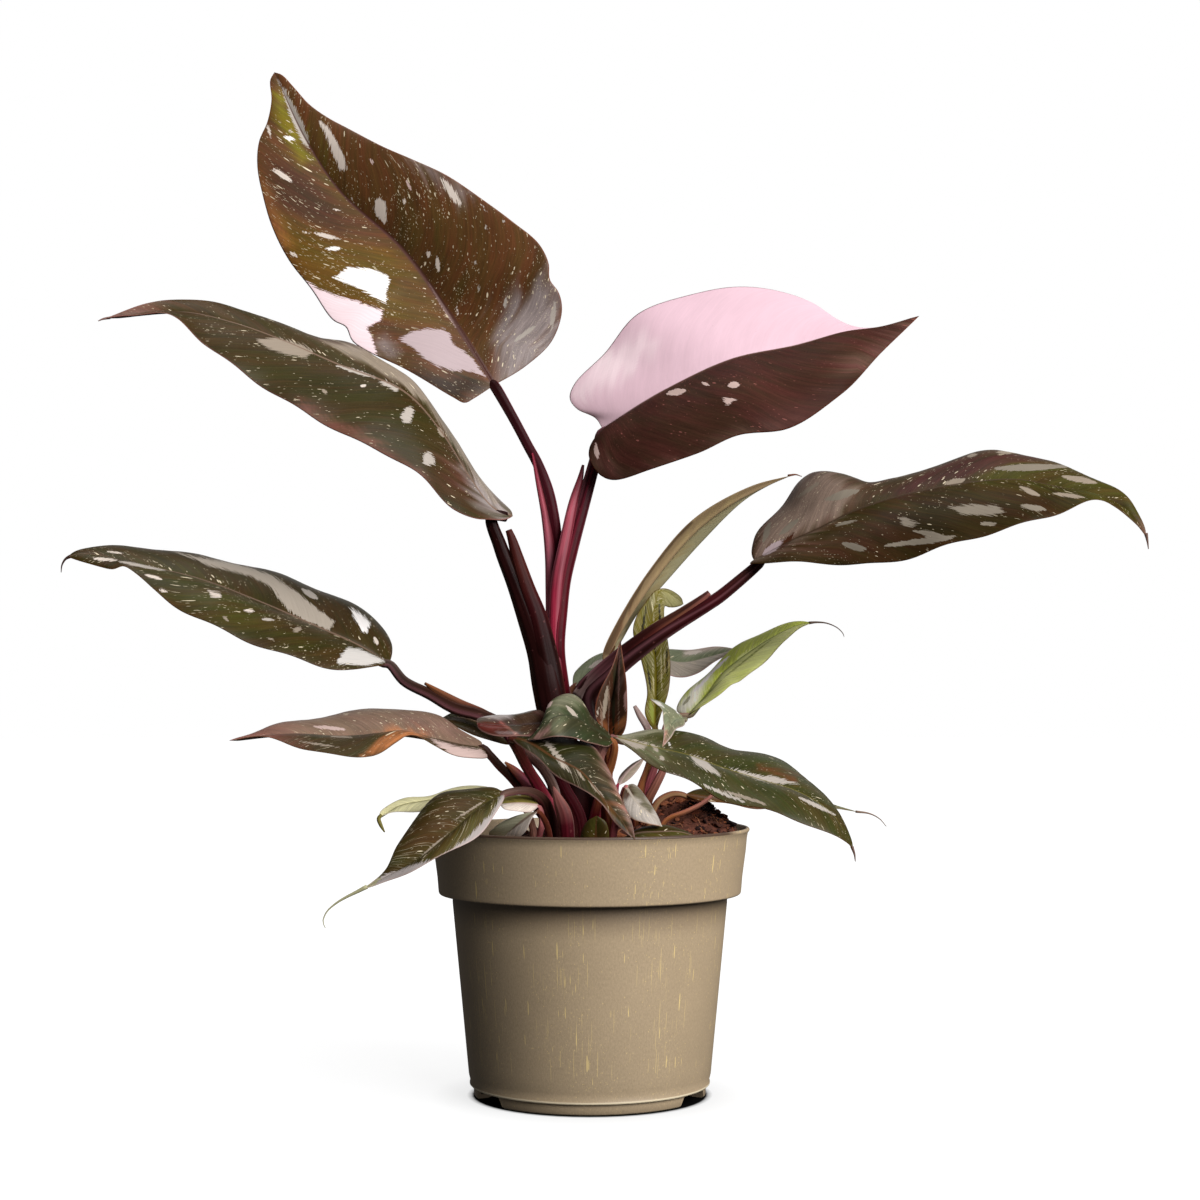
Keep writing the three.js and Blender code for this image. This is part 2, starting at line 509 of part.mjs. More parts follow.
// A round tube with closed ends along a line of centre points, each with its radius
function tubeSolid(line, sides, swell = 0) {
  const steps = Math.max(6, 2 * (line.length - 1));
  const centres = sampleCurve(line, steps);
  const lengths = [0];
  for (let k = 1; k < line.length; k += 1) {
    lengths.push(lengths[k - 1] + vector(line[k]).distanceTo(vector(line[k - 1])));
  }
  const radiusAt = (share) => {
    const s = share * lengths.at(-1);
    let k = 1;
    while (k < line.length - 1 && lengths[k] < s) k += 1;
    const t = (s - lengths[k - 1]) / (lengths[k] - lengths[k - 1]);
    return THREE.MathUtils.lerp(line[k - 1][3], line[k][3], Math.min(t, 1));
  };

  const positions = [];
  const triangles = [];
  let normal = null;
  centres.forEach((centre, i) => {
    const ahead = centres[Math.min(i + 1, steps)];
    const behind = centres[Math.max(i - 1, 0)];
    const along = ahead.clone().sub(behind).normalize();
    if (!normal) normal = new THREE.Vector3(0.3, 1, 0.1).cross(along);
    normal.addScaledVector(along, -normal.dot(along)).normalize();
    const side = along.clone().cross(normal);
    const radius = radiusAt(i / steps) + swell;
    const end = i === 0 ? -swell : (i === steps ? swell : 0);
    for (let k = 0; k < sides; k += 1) {
      const angle = (2 * Math.PI * k) / sides;
      const p = centre.clone().addScaledVector(along, end)
        .addScaledVector(normal, radius * Math.cos(angle))
        .addScaledVector(side, radius * Math.sin(angle));
      positions.push(p.x, p.y, p.z);
    }
  });
  for (let i = 0; i < steps; i += 1) {
    for (let k = 0; k < sides; k += 1) {
      const a = i * sides + k;
      const b = i * sides + (k + 1) % sides;
      triangles.push(a, b, b + sides, a, b + sides, a + sides);
    }
  }
  for (let k = 1; k < sides - 1; k += 1) {
    triangles.push(0, k + 1, k);
    triangles.push(steps * sides, steps * sides + k, steps * sides + k + 1);
  }
  return solidFrom(positions, triangles);
}

function stalkSolid(stalk, swell = 0) {
  const tube = tubeSolid(stalk.line, stalkSides, swell);
  if (!stalk.sheath) return tube;
  return tube.add(tubeSolid(stalk.sheath, stalkSides, swell));
}

function largestBody(solid) {
  const bodies = solid.decompose();
  return bodies.reduce((best, body) => (body.volume() > best.volume() ? body : best));
}

// The radius inside the pot's wall where the outside has this radius
const inner = (outer) => outer - wall;

// The pot: a thin shell with a stepped collar, a rounded lip, a seam and a plain foot
function potSolid() {
  const profile = [
    [0, 0], [footRadius, 0], [footRadius + 0.1, seamHeight - 0.4], [seamRadius, seamHeight],
    [seamRadius + 0.2, seamHeight + 0.8], [bodyTopRadius, collarBottom - 3],
    [collarBottomRadius - 0.8, collarBottom - 0.6], [collarBottomRadius, collarBottom],
    [collarBottomRadius + 0.4, collarBottom + 2.8], [collarTopRadius, rimTop - lipHeight - 1.6],
    [rimRadius - 0.3, rimTop - lipHeight], [rimRadius, rimTop - lipHeight / 2], [rimRadius - 0.6, rimTop],
    [inner(rimRadius) - 0.6, rimTop], [inner(collarTopRadius), rimTop - lipHeight - 1.6],
    [inner(collarBottomRadius) + 0.2, collarBottom + wall + 1], [inner(bodyTopRadius), collarBottom - 2],
    [inner(seamRadius) + 0.2, seamHeight + 1], [inner(footRadius) - 0.4, floorThickness], [0, floorThickness],
  ].map(([x, y]) => new THREE.Vector2(x, y));
  const lathe = new THREE.LatheGeometry(profile, potSides);
  lathe.rotateX(Math.PI / 2);
  let pot = solidOf(lathe);
  const depth = drainOuter - drainInner;
  for (let k = 0; k < drainCount; k += 1) {
    const notch = new THREE.BoxGeometry(drainWidth, depth, drainHeight + 1);
    notch.translate(0, -(drainInner + depth / 2), (drainHeight - 1) / 2);
    notch.rotateZ((2 * Math.PI * (k + 0.5)) / drainCount);
    pot = pot.subtract(solidOf(notch));
  }
  return pot;
}

function soilHeight(x, y) {
  const fromMiddle = Math.hypot(x, y) / bodyTopRadius;
  const fromHeap = Math.hypot(x - heapCentre[0], y - heapCentre[1]) / heapSpread;
  const crown = soilCrown * Math.max(0, 1 - fromMiddle * fromMiddle);
  return soilEdgeHeight + crown + heapHeight * Math.exp(-fromHeap * fromHeap);
}

// The potting mix fills the pot: a stepped side that follows the wall, and a heaped top
function soilSolid() {
  const side = [
    [inner(footRadius) - 1.4, floorThickness + soilGap],
    [inner(bodyTopRadius) - soilGap - 0.3, collarBottom - 2],
    [inner(collarBottomRadius) - soilGap, collarBottom + wall + 1.6],
    [inner(collarTopRadius) - 1.2, null],
  ];
  const positions = [0, 0, floorThickness + soilGap];
  const triangles = [];
  const ring = (radius, height) => {
    const start = positions.length / 3;
    for (let k = 0; k < soilSides; k += 1) {
      const angle = (2 * Math.PI * k) / soilSides;
      const x = radius * Math.cos(angle);
      const y = radius * Math.sin(angle);
      positions.push(x, y, height === null ? soilHeight(x, y) : height);
    }
    return start;
  };
  const starts = side.map(([radius, height]) => ring(radius, height));
  const edge = side.at(-1)[0];
  for (let k = soilRings - 1; k > 0; k -= 1) starts.push(ring((edge * k) / soilRings, null));
  const top = positions.length / 3;
  positions.push(0, 0, soilHeight(0, 0));
  for (let k = 0; k < soilSides; k += 1) {
    const next = (k + 1) % soilSides;
    triangles.push(0, starts[0] + next, starts[0] + k);
    triangles.push(top, starts.at(-1) + k, starts.at(-1) + next);
    for (let i = 0; i < starts.length - 1; i += 1) {
      const [a, b] = [starts[i], starts[i + 1]];
      triangles.push(a + k, a + next, b + next, a + k, b + next, b + k);
    }
  }
  return solidFrom(positions, triangles);
}

// Pieces in the order in which they keep their place. Each later piece is cut back where it
// would come closer than the clearance to an earlier one.
const pieces = [
  { name: 'pot', make: potSolid, colour: colours.pot, roughness: 0.5, keep: true },
  { name: mainStem.name, make: (swell) => tubeSolid(mainStem.line, stemSides, swell), colour: colours.stalk },
  ...stalks.map((stalk) => ({
    name: stalk.name, make: (swell) => stalkSolid(stalk, swell), colour: colours.stalk,
  })),
  ...blades.map((blade) => ({
    name: blade.name, make: (swell) => bladeSolid(blade, swell), colour: blade.colour,
  })),
  { name: 'soil', make: soilSolid, colour: colours.soil, roughness: 0.95, keep: true },
];

const near = (a, b) => {
  const [p, q] = [a.boundingBox(), b.boundingBox()];
  return [0, 1, 2].every((k) => p.min[k] < q.max[k] && q.min[k] < p.max[k]);
};

const plant = new THREE.Group();
const placed = [];
pieces.forEach((piece) => {
  let solid = piece.make(0);
  placed.forEach((earlier) => {
    if (near(solid, earlier.swollen)) solid = solid.subtract(earlier.swollen);
  });
  solid = largestBody(solid);
  placed.push({ name: piece.name, swollen: piece.keep ? solid : piece.make(clearance) });
  const material = new THREE.MeshStandardMaterial({
    color: piece.colour, roughness: piece.roughness ?? 0.42, metalness: 0, flatShading: true,
  });
  const mesh = new THREE.Mesh(geometryOf(solid), material);
  mesh.name = piece.name;
  plant.add(mesh);
});

export default plant;
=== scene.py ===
import math

import bmesh
import bpy
import numpy as np
from mathutils import Matrix, Vector


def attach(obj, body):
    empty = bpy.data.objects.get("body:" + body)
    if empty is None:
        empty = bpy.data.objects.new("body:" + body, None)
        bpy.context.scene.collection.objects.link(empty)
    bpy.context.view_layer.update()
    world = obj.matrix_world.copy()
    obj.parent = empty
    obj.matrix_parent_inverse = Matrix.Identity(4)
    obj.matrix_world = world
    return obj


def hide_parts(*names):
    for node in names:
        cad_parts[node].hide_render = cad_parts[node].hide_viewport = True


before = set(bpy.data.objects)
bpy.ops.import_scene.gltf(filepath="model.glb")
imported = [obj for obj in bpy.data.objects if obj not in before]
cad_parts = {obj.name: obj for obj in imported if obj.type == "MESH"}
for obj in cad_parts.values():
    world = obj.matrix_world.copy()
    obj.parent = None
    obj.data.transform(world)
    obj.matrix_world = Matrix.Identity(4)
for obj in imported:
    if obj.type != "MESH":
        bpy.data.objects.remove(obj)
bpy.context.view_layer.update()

# Potted philodendron. Lengths are in millimetres until a mesh is made, x to the right,
# y away from the camera and z up, as in the CAD model.
toMetres = 0.001

# Where the photograph was taken from. Markings are given in its own pixels.
view = {
    "eye": (3.8, -800.0, 150.7),
    "tiltUp": 2.43,  # degrees above level
    "focalPixels": 2117.4,
    "framePixels": 1200,
    "sensor": 36.0,
}

# Colours as they look, red green blue from 0 to 255
palette = {
    "umber": (88, 56, 30), "maroon": (74, 42, 28), "mahogany": (62, 36, 30), "cocoa": (84, 56, 44),
    "wine": (62, 18, 26), "plum": (74, 44, 42), "oliveDark": (58, 45, 20), "olive": (72, 64, 26),
    "moss": (84, 82, 26), "gold": (98, 72, 16), "lime": (118, 106, 12), "leafGreen": (196, 206, 80),
    "dove": (156, 144, 142), "maroonRib": (78, 46, 42), "khaki": (176, 154, 108),
    "paleGreen": (212, 206, 160), "sage": (160, 156, 122), "ash": (148, 134, 118),
    "dusk": (112, 84, 74), "greyPink": (196, 170, 162), "paleMauve": (186, 166, 168),
    "mauve": (132, 98, 90), "rust": (196, 122, 70), "rosewood": (140, 84, 76),
    "petal": (222, 187, 198), "blush": (246, 222, 226), "rose": (196, 122, 120),
    "white": (248, 242, 238), "cream": (212, 198, 186), "butter": (206, 194, 150),
    "silver": (178, 168, 158), "crimson": (116, 24, 44), "cherry": (150, 40, 62),
    "oxblood": (60, 14, 18), "nearBlack": (36, 11, 10), "russet": (120, 62, 40),
    "pot": (182, 160, 130), "potStreak": (244, 216, 146), "paintedSeamHighlight": (236, 220, 188),
    "earth": (96, 54, 40), "bark": (156, 92, 60), "fibre": (170, 112, 76), "floor": (246, 246, 246),
    "shade": (52, 44, 16), "deepBrown": (46, 32, 16), "deepOlive": (56, 48, 18),
    "flush": (178, 84, 98), "mauveEdge": (146, 92, 100), "blood": (78, 8, 20),
    "rosePink": (176, 96, 112), "copper": (150, 92, 54), "strapBrown": (156, 130, 98),
    "strapGreen": (190, 182, 144), "foldGreen": (112, 104, 38), "foldPale": (170, 164, 112),
    "drift": (130, 136, 106), "steel": (168, 158, 154), "clay": (118, 72, 52),
    "slate": (96, 82, 76), "chestnut": (62, 38, 30), "rosyEdge": (176, 118, 108),
    "mist": (164, 160, 134), "mossGrey": (118, 118, 92), "night": (46, 44, 28),
    "paleAsh": (206, 200, 194), "dustyRose": (150, 112, 104), "stone": (172, 160, 146),
    "peat": (70, 54, 40), "putty": (132, 122, 108), "darkMoss": (44, 40, 18),
    "ironBrown": (66, 52, 48), "leafShade": (150, 158, 70), "lowOlive": (60, 58, 26),
    "spear": (62, 38, 26), "arched": (50, 54, 34), "springGreen": (222, 226, 140),
    "speck": (236, 220, 188), "sheathBrown": (84, 36, 30), "lightOlive": (122, 112, 54),
    "taupe": (122, 98, 82),
}


def linear(name, strength=1.0):
    # a palette colour as the linear values that a shader takes
    found = []
    for value in palette[name]:
        share = value / 255
        low = share / 12.92
        high = ((share + 0.055) / 1.055) ** 2.4
        found.append(strength * (low if share <= 0.04045 else high))
    return np.array(found + [1.0])


# Curves and meshes


def smoothCurve(points, steps):
    # evenly spread points on a centripetal curve through the given ones
    points = np.array(points, float)
    first = 2 * points[0] - points[1]
    last = 2 * points[-1] - points[-2]
    full = np.vstack([first, points, last])
    parts = []
    fine = 24
    for i in range(1, len(full) - 2):
        p = full[i - 1:i + 3]
        gaps = np.linalg.norm(np.diff(p[:, :3], axis=0), axis=1) ** 0.5
        gaps = np.maximum(gaps, 1e-4)
        t0, t1 = 0.0, gaps[0]
        t2, t3 = t1 + gaps[1], t1 + gaps[1] + gaps[2]
        t = np.linspace(t1, t2, fine, endpoint=False)[:, None]
        a1 = (t1 - t) / (t1 - t0) * p[0] + (t - t0) / (t1 - t0) * p[1]
        a2 = (t2 - t) / (t2 - t1) * p[1] + (t - t1) / (t2 - t1) * p[2]
        a3 = (t3 - t) / (t3 - t2) * p[2] + (t - t2) / (t3 - t2) * p[3]
        b1 = (t2 - t) / (t2 - t0) * a1 + (t - t0) / (t2 - t0) * a2
        b2 = (t3 - t) / (t3 - t1) * a2 + (t - t1) / (t3 - t1) * a3
        parts.append((t2 - t) / (t2 - t1) * b1 + (t - t1) / (t2 - t1) * b2)
    parts.append(points[-1:])
    path = np.vstack(parts)
    run = runAlong(path[:, :3])
    places = np.linspace(0, run[-1], steps + 1)
    return np.stack([np.interp(places, run, path[:, k]) for k in range(path.shape[1])], axis=1)


def runAlong(points):
    # how far along a line each of its points is
    gaps = np.linalg.norm(np.diff(points, axis=0), axis=1)
    return np.concatenate([[0], np.cumsum(gaps)])


def unit(vectors):
    size = np.linalg.norm(vectors, axis=-1, keepdims=True)
    return vectors / np.maximum(size, 1e-9)


def onPhoto(points):
    # where points in space appear on the photograph, in pixels from its top left
    tilt = math.radians(view["tiltUp"])
    forward = np.array([0, math.cos(tilt), math.sin(tilt)])
    upward = np.array([0, -math.sin(tilt), math.cos(tilt)])
    away = points - np.array(view["eye"])
    depth = away @ forward
    middle = view["framePixels"] / 2
    across = middle + view["focalPixels"] * away[..., 0] / depth
    down = middle - view["focalPixels"] * (away @ upward) / depth
    return np.stack([across, down], axis=-1)


def turns(sides):
    return np.linspace(0, 2 * math.pi, sides, endpoint=False)


def circle(radius, height, sides):
    return [(radius * math.cos(turn), radius * math.sin(turn), height) for turn in turns(sides)]


def fan(sides):
    # triangles from point 0 to the ring of points after it
    return [[0, 1 + k, 1 + (k + 1) % sides] for k in range(sides)]


def ringFaces(first, count, sides):
    # quads from each ring of points to the next
    faces = []
    for start in range(first, first + (count - 1) * sides, sides):
        for k in range(sides):
            a, b = start + k, start + (k + 1) % sides
            faces.append([a, a + sides, b + sides, b])
    return faces


def hair(path, lean, sides, first):
    # a fine closed tube along centres with radii; its points are numbered from first
    along = unit(np.gradient(path[:, :3], axis=0))
    side = unit(np.cross(along, np.array(lean)))
    over = np.cross(side, along)
    turn = turns(sides)[None, :, None]
    spokes = np.cos(turn) * side[:, None] + np.sin(turn) * over[:, None]
    rings = path[:, None, :3] + path[:, 3][:, None, None] * spokes
    last = first + (len(path) - 1) * sides
    faces = ringFaces(first, len(path), sides)
    faces.append([first + k for k in range(sides)])
    faces.append([last + sides - 1 - k for k in range(sides)])
    return rings.reshape(-1, 3), faces


def makeMesh(name, points, faces, smooth=True):
    mesh = bpy.data.meshes.new(name)
    mesh.from_pydata((np.asarray(points) * toMetres).tolist(), [], faces)
    mesh.validate()
    mesh.polygons.foreach_set("use_smooth", [smooth] * len(mesh.polygons))
    piece = bpy.data.objects.new(name, mesh)
    bpy.context.scene.collection.objects.link(piece)
    return piece


def paint(piece, name, values):
    # one value or colour per vertex, read by the finishes
    values = np.asarray(values, np.float32)
    kind = "FLOAT" if values.ndim == 1 else "FLOAT_COLOR"
    layer = piece.data.attributes.new(name, kind, "POINT")
    field = "value" if kind == "FLOAT" else "color"
    layer.data.foreach_set(field, values.ravel())


def unwrap(piece, name, coordinates):
    # a flat coordinate per vertex, as a UV map
    layer = piece.data.uv_layers.new(name=name)
    corners = np.zeros(len(piece.data.loops), np.int32)
    piece.data.loops.foreach_get("vertex_index", corners)
    layer.data.foreach_set("uv", np.asarray(coordinates, np.float32)[corners].ravel())


def nodeOf(name):
    # what the CAD model calls a piece: leafTop is leaf_top there
    return "".join("_" + letter.lower() if letter.isupper() else letter for letter in name)


def place(piece, finish, slot, *nodes):
    piece.data.materials.append(finish)
    if nodes:
        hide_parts(*nodes)
    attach(piece, "root")


# Finishes


class Shade:
    # a number or colour inside a finish; arithmetic on it adds Math nodes
    def __init__(self, finish, socket):
        self.finish = finish
        self.socket = socket

    def joined(self, operation, first, second):
        return self.finish.add("ShaderNodeMath", {"operation": operation}, {0: first, 1: second})

    def __add__(self, other):
        return self.joined("ADD", self, other)

    def __sub__(self, other):
        return self.joined("SUBTRACT", self, other)

    def __rsub__(self, other):
        return self.joined("SUBTRACT", other, self)

    def __rtruediv__(self, other):
        return self.joined("DIVIDE", other, self)

    def __mul__(self, other):
        return self.joined("MULTIPLY", self, other)

    def __truediv__(self, other):
        return self.joined("DIVIDE", self, other)

    def __pow__(self, other):
        return self.joined("POWER", self, other)

    __radd__ = __add__
    __rmul__ = __mul__


class Finish:
    # one material, built from nodes
    def __init__(self, name, **constants):
        self.material = bpy.data.materials.new(name)
        self.material.use_nodes = True
        self.tree = self.material.node_tree
        self.shader = self.tree.nodes["Principled BSDF"]
        for socket, value in constants.items():
            self.set(socket.replace("_", " "), value)

    def add(self, kind, settings=None, inputs=None, output=0):
        node = self.tree.nodes.new(kind)
        for key, value in (settings or {}).items():
            setattr(node, key, value)
        for key, value in (inputs or {}).items():
            self.feed(node.inputs[key], value)
        return Shade(self, node.outputs[output])

    def feed(self, socket, value):
        if isinstance(value, Shade):
            self.tree.links.new(value.socket, socket)
        else:
            vector = socket.type == "VECTOR" and len(value) == 4
            socket.default_value = value[:3] if vector else value

    def set(self, socket, value):
        self.feed(self.shader.inputs[socket], value)

    def attribute(self, name, output="Fac"):
        return self.add("ShaderNodeAttribute", {"attribute_name": name}, output=output)

    def stretched(self, mapName, along, across, shift=0.0):
        # a UV map scaled by different amounts in its two directions
        source = self.add("ShaderNodeUVMap", {"uv_map": mapName})
        return self.add("ShaderNodeMapping", None, {
            "Vector": source, "Scale": (along, across, 1), "Location": (shift, shift * 1.7, shift)})

    def noise(self, vector, scale, detail, roughness):
        return self.add("ShaderNodeTexNoise", None, {
            "Vector": vector, "Scale": scale, "Detail": detail, "Roughness": roughness})

    def mapNoises(self, mapName, noises, seed=0.0):
        # noises over a UV map, which is scaled differently in its two directions
        found = {}
        for key, (along, across, shift, detail, roughness) in noises.items():
            vector = self.stretched(mapName, along, across, seed + shift)
            found[key] = self.noise(vector, 1.0, detail, roughness)
        return found

    def mix(self, share, first, second):
        settings = {"data_type": "RGBA"}
        return self.add("ShaderNodeMix", settings, {0: share, 6: first, 7: second}, output=2)

    def tone(self, colour, amount):
        # a colour made lighter or darker by a number
        return self.add("ShaderNodeVectorMath", {"operation": "SCALE"}, {0: colour, "Scale": amount})

    def tinted(self, colour, factors):
        return self.add("ShaderNodeVectorMath", {"operation": "MULTIPLY"}, {0: colour, 1: factors})

    def size(self, value):
        return self.add("ShaderNodeMath", {"operation": "ABSOLUTE"}, {0: value})

    def ramp(self, value, low, high, start=0.0, end=1.0):
        return self.add("ShaderNodeMapRange", {"interpolation_type": "SMOOTHSTEP"}, {
            0: value, 1: low, 2: high, 3: start, 4: end})

    def specks(self, under, chance, colour, along, across, size, seed, strength, mapName="veins"):
        # scattered marks, each in a cell of its own; chance says how many cells have one
        cells = self.stretched(mapName, along, across, seed)
        settings = {"feature": "F1"}
        far = self.add("ShaderNodeTexVoronoi", settings, {"Vector": cells, "Scale": 1.0}, "Distance")
        luck = self.add("ShaderNodeTexVoronoi", settings, {"Vector": cells, "Scale": 1.0}, "Color")
        first = self.add("ShaderNodeSeparateColor", None, {0: luck})
        second = self.add("ShaderNodeSeparateColor", None, {0: luck}, output=1)
        reach = second ** 3 * size * 2.5 + size * 0.5
        chosen = self.ramp(first + chance * 0.5, 0.99, 1.01)
        mark = self.ramp(reach - far, -0.03, 0.03) * chosen * strength
        return self.mix(mark, under, tuple(linear(colour)))

    def bump(self, height, distance, strength):
        return self.add("ShaderNodeBump", None, {
            "Height": height, "Distance": distance, "Strength": strength})


leafLook = {
    # noises that run with the side veins: scale along and across, shift, detail, roughness
    "noises": {
        "streaks": (0.9, 0.07, 0, 5.0, 0.65),
        "threads": (3.2, 0.2, 1, 3.0, 0.6),
        "grain": (3.6, 2.6, 2, 2.0, 0.6),
        "clouds": (0.09, 0.06, 3, 4.0, 0.55),
        "wobble": (0.12, 0.12, 5, 1.0, 0.5),
        "drift": (0.16, 0.05, 6, 4.0, 0.6),
        "hairs": (2.4, 0.12, 7, 2.0, 0.5),
        "rag": (1.5, 0.16, 9, 5.0, 0.7),
    },
    # dots and dashes: share of the leaf's speckles, cells per millimetre along and across,
    # size, shift, strength
    "specks": [
        (0.9, 2.1, 1.5, 0.14, 0, 0.6), (0.4, 1.1, 0.6, 0.15, 4, 0.8),
        (0.11, 0.55, 0.28, 0.16, 8, 0.9),
    ],
    "veinSpacing": 3.4,      # between side veins
    "veinWobble": 7.0,
    "veinTone": 0.12,
    "streakTone": 0.9,
    "threadTone": 0.75,      # hair-fine lines among the streaks
    "grainTone": 0.6,
    "cloudTone": 1.0,
    "splashTone": 0.25,
    "mottle": 0.8,           # how far the colour wanders between greener and redder
    "greener": (0.82, 1.04, 0.72),
    "redder": (1.2, 0.94, 0.92),
    "raggedSplash": 2.2,     # how far the edges of splashes and patches wander
    "raggedPatch": 5.5,
    "roughness": 0.42,
    "shine": 0.15,
    "coat": 0.02,
}


def leafFinish(name, seed, speckleColour, gloss, shine):
    look = leafLook
    finish = Finish(name, Coat_Roughness=0.3, Specular_IOR_Level=shine)
    noise = finish.mapNoises("veins", look["noises"], seed)
    streaks, threads, grain = noise["streaks"], noise["threads"], noise["grain"]
    ground = finish.attribute("ground", "Color")
    speckles = finish.attribute("speckles")
    lively = 1 - finish.attribute("plain")

    # side veins, and a tone that changes in streaks along them
    veinX = finish.add("ShaderNodeSeparateXYZ", None, {0: finish.stretched("veins", 1.0, 1.0)})
    phase = veinX * (2 * math.pi / look["veinSpacing"]) + noise["wobble"] * look["veinWobble"]
    wave = finish.add("ShaderNodeMath", {"operation": "SINE"}, {0: phase})
    veins = finish.ramp(wave, 0.55, 1.0)
    unrest = (streaks - 0.5) * look["streakTone"] + (threads - 0.5) * look["threadTone"]
    unrest = unrest + (noise["clouds"] - 0.5) * look["cloudTone"] + veins * look["veinTone"]
    tone = unrest * (lively * 0.85 + 0.15) + (grain - 0.5) * lively * look["grainTone"] + 1.0
    greener = finish.tinted(ground, look["greener"])
    redder = finish.tinted(ground, look["redder"])
    wandered = finish.mix(finish.ramp(noise["drift"], 0.36, 0.64), greener, redder)
    colour = finish.tone(finish.mix(finish.attribute("mottle"), ground, wandered), tone)

    # small dots and dashes, and hair-fine pale lines on the leaves that have them
    for share, along, across, size, shift, strength in look["specks"]:
        colour = finish.specks(colour, speckles * share, speckleColour, along, across, size,
                               seed + shift, strength)
    hairs = finish.ramp(noise["hairs"] * finish.attribute("hairs"), 0.62, 0.72)
    colour = finish.mix(hairs * 0.5, colour, tuple(linear(speckleColour)))

    # splashes with edges that are ragged along the veins
    field = finish.attribute("splash") + (noise["rag"] - 0.5) * finish.attribute("ragged")
    paleTone = ((streaks - 0.5) + (threads - 0.5)) * look["splashTone"] + 1.0
    pale = finish.tone(finish.attribute("splashColour", "Color"), paleTone)
    colour = finish.mix(finish.ramp(field, -0.06, 0.06), colour, pale)

    rib = finish.ramp(finish.attribute("ribDistance"), 1.0, 0.45)
    colour = finish.mix(rib * 0.85, colour, finish.attribute("ribColour", "Color"))
    edge = finish.ramp(finish.attribute("marginDistance"), 0.6, 0.05)
    colour = finish.mix(edge * 0.7, colour, finish.attribute("marginColour", "Color"))
    finish.set("Base Color", colour)

    finish.set("Roughness", (streaks - 0.5) * 0.16 + (grain - 0.5) * 0.1 + gloss)
    finish.set("Coat Weight", look["coat"])
    height = (veins * 0.05 + streaks * 0.16 + grain * 0.06) * lively
    finish.set("Normal", finish.bump(height, 0.0006, 0.4))
    return finish.material


# Leaves


def roughField(x, y, seed):
    # smooth random values from 0 to 1 over a flat coordinate
    table = np.random.default_rng(100 + seed).uniform(0, 1, (64, 64))
    column, row = np.floor(x).astype(int), np.floor(y).astype(int)
    u, v = x - column, y - row
    u, v = u * u * (3 - 2 * u), v * v * (3 - 2 * v)

    def corner(i, j):
        return table[(column + i) % 64, (row + j) % 64]

    low = corner(0, 0) * (1 - u) + corner(1, 0) * u
    high = corner(0, 1) * (1 - u) + corner(1, 1) * u
    return low * (1 - v) + high * v


pixelsPerMillimetre = 2.65
noSplash = -6.0
farOff = 9.0


def spindle(pixels, mark):
    # how far inside a long splash each place is, in millimetres at the plant
    x0, y0, x1, y1, width = mark
    start, end = np.array([x0, y0]), np.array([x1, y1])
    along = end - start
    share = np.clip(((pixels - start) @ along) / max(along @ along, 1e-6), 0, 1)
    off = np.linalg.norm(pixels - (start + share[..., None] * along), axis=-1)
    half = width / 2 * (0.35 + 0.65 * np.sin(math.pi * share))
    return (half - off) / pixelsPerMillimetre


def patch(pixels, outline):
    # the same for a patch with its own outline
    corners = np.array(outline, float)
    inside = np.zeros(pixels.shape[:-1], bool)
    nearest = np.full(pixels.shape[:-1], 1e9)
    for a, b in zip(corners, np.roll(corners, -1, axis=0)):
        side = b - a
        share = np.clip(((pixels - a) @ side) / max(side @ side, 1e-6), 0, 1)
        off = np.linalg.norm(pixels - (a + share[..., None] * side), axis=-1)
        nearest = np.minimum(nearest, off)
        crosses = (a[1] > pixels[..., 1]) != (b[1] > pixels[..., 1])
        slope = (pixels[..., 1] - a[1]) / np.where(b[1] == a[1], 1e-9, b[1] - a[1])
        inside ^= crosses & (pixels[..., 0] < a[0] + slope * (b[0] - a[0]))
    return np.where(inside, nearest, -nearest) / pixelsPerMillimetre


leafShape = {
    "rows": 130, "halfColumns": 26, "thickness": 0.5, "sky": (0, -0.35, 1.0),
    "ribHeight": 1.0, "ribWidth": 1.3, "groove": 0.35, "arch": (0.12, 0.12),
    "wave": 0.7, "waveLength": 26.0, "wavePhase": (1.1, 3.9), "furrow": 0.035, "furrowLength": 7.5,
    "veinBend": 0.30, "halfShift": 200,   # puts the right half elsewhere on the map
    "dripSteps": 16, "dripSides": 8, "dripLean": (0.1, 1.0, 0.2),
}


def bladeGrid(leaf):
    # rows from base to tip, columns from the left margin over the midrib to the right one
    base, tip = leaf["midrib"][0], leaf["midrib"][-1]
    rows = leaf.get("rows", leafShape["rows"])
    half = leaf.get("halfColumns", leafShape["halfColumns"])
    middle = smoothCurve(leaf["midrib"], rows)
    left = smoothCurve([base, *leaf["left"], tip], rows)
    right = smoothCurve([base, *leaf["right"], tip], rows)
    reach = np.linspace(0, 1, half + 1)
    reach = 0.6 * reach + 0.4 * reach ** 1.6
    reach[-2] = 0.985
    signed = np.concatenate([-reach[::-1], reach[1:]])
    edge = np.where((signed < 0)[None, :, None], left[:, None], right[:, None])
    out = edge - middle[:, None]
    width = np.linalg.norm(out, axis=-1)
    grid = middle[:, None] + out * np.abs(signed)[None, :, None]
    return grid, signed, width, middle


def gridNormals(grid):
    along = np.gradient(grid, axis=0)
    across = np.gradient(grid, axis=1)
    along[0] = along[1]
    along[-1] = along[-2]
    across[0] = across[1]
    across[-1] = across[-2]
    return unit(np.cross(across, along))


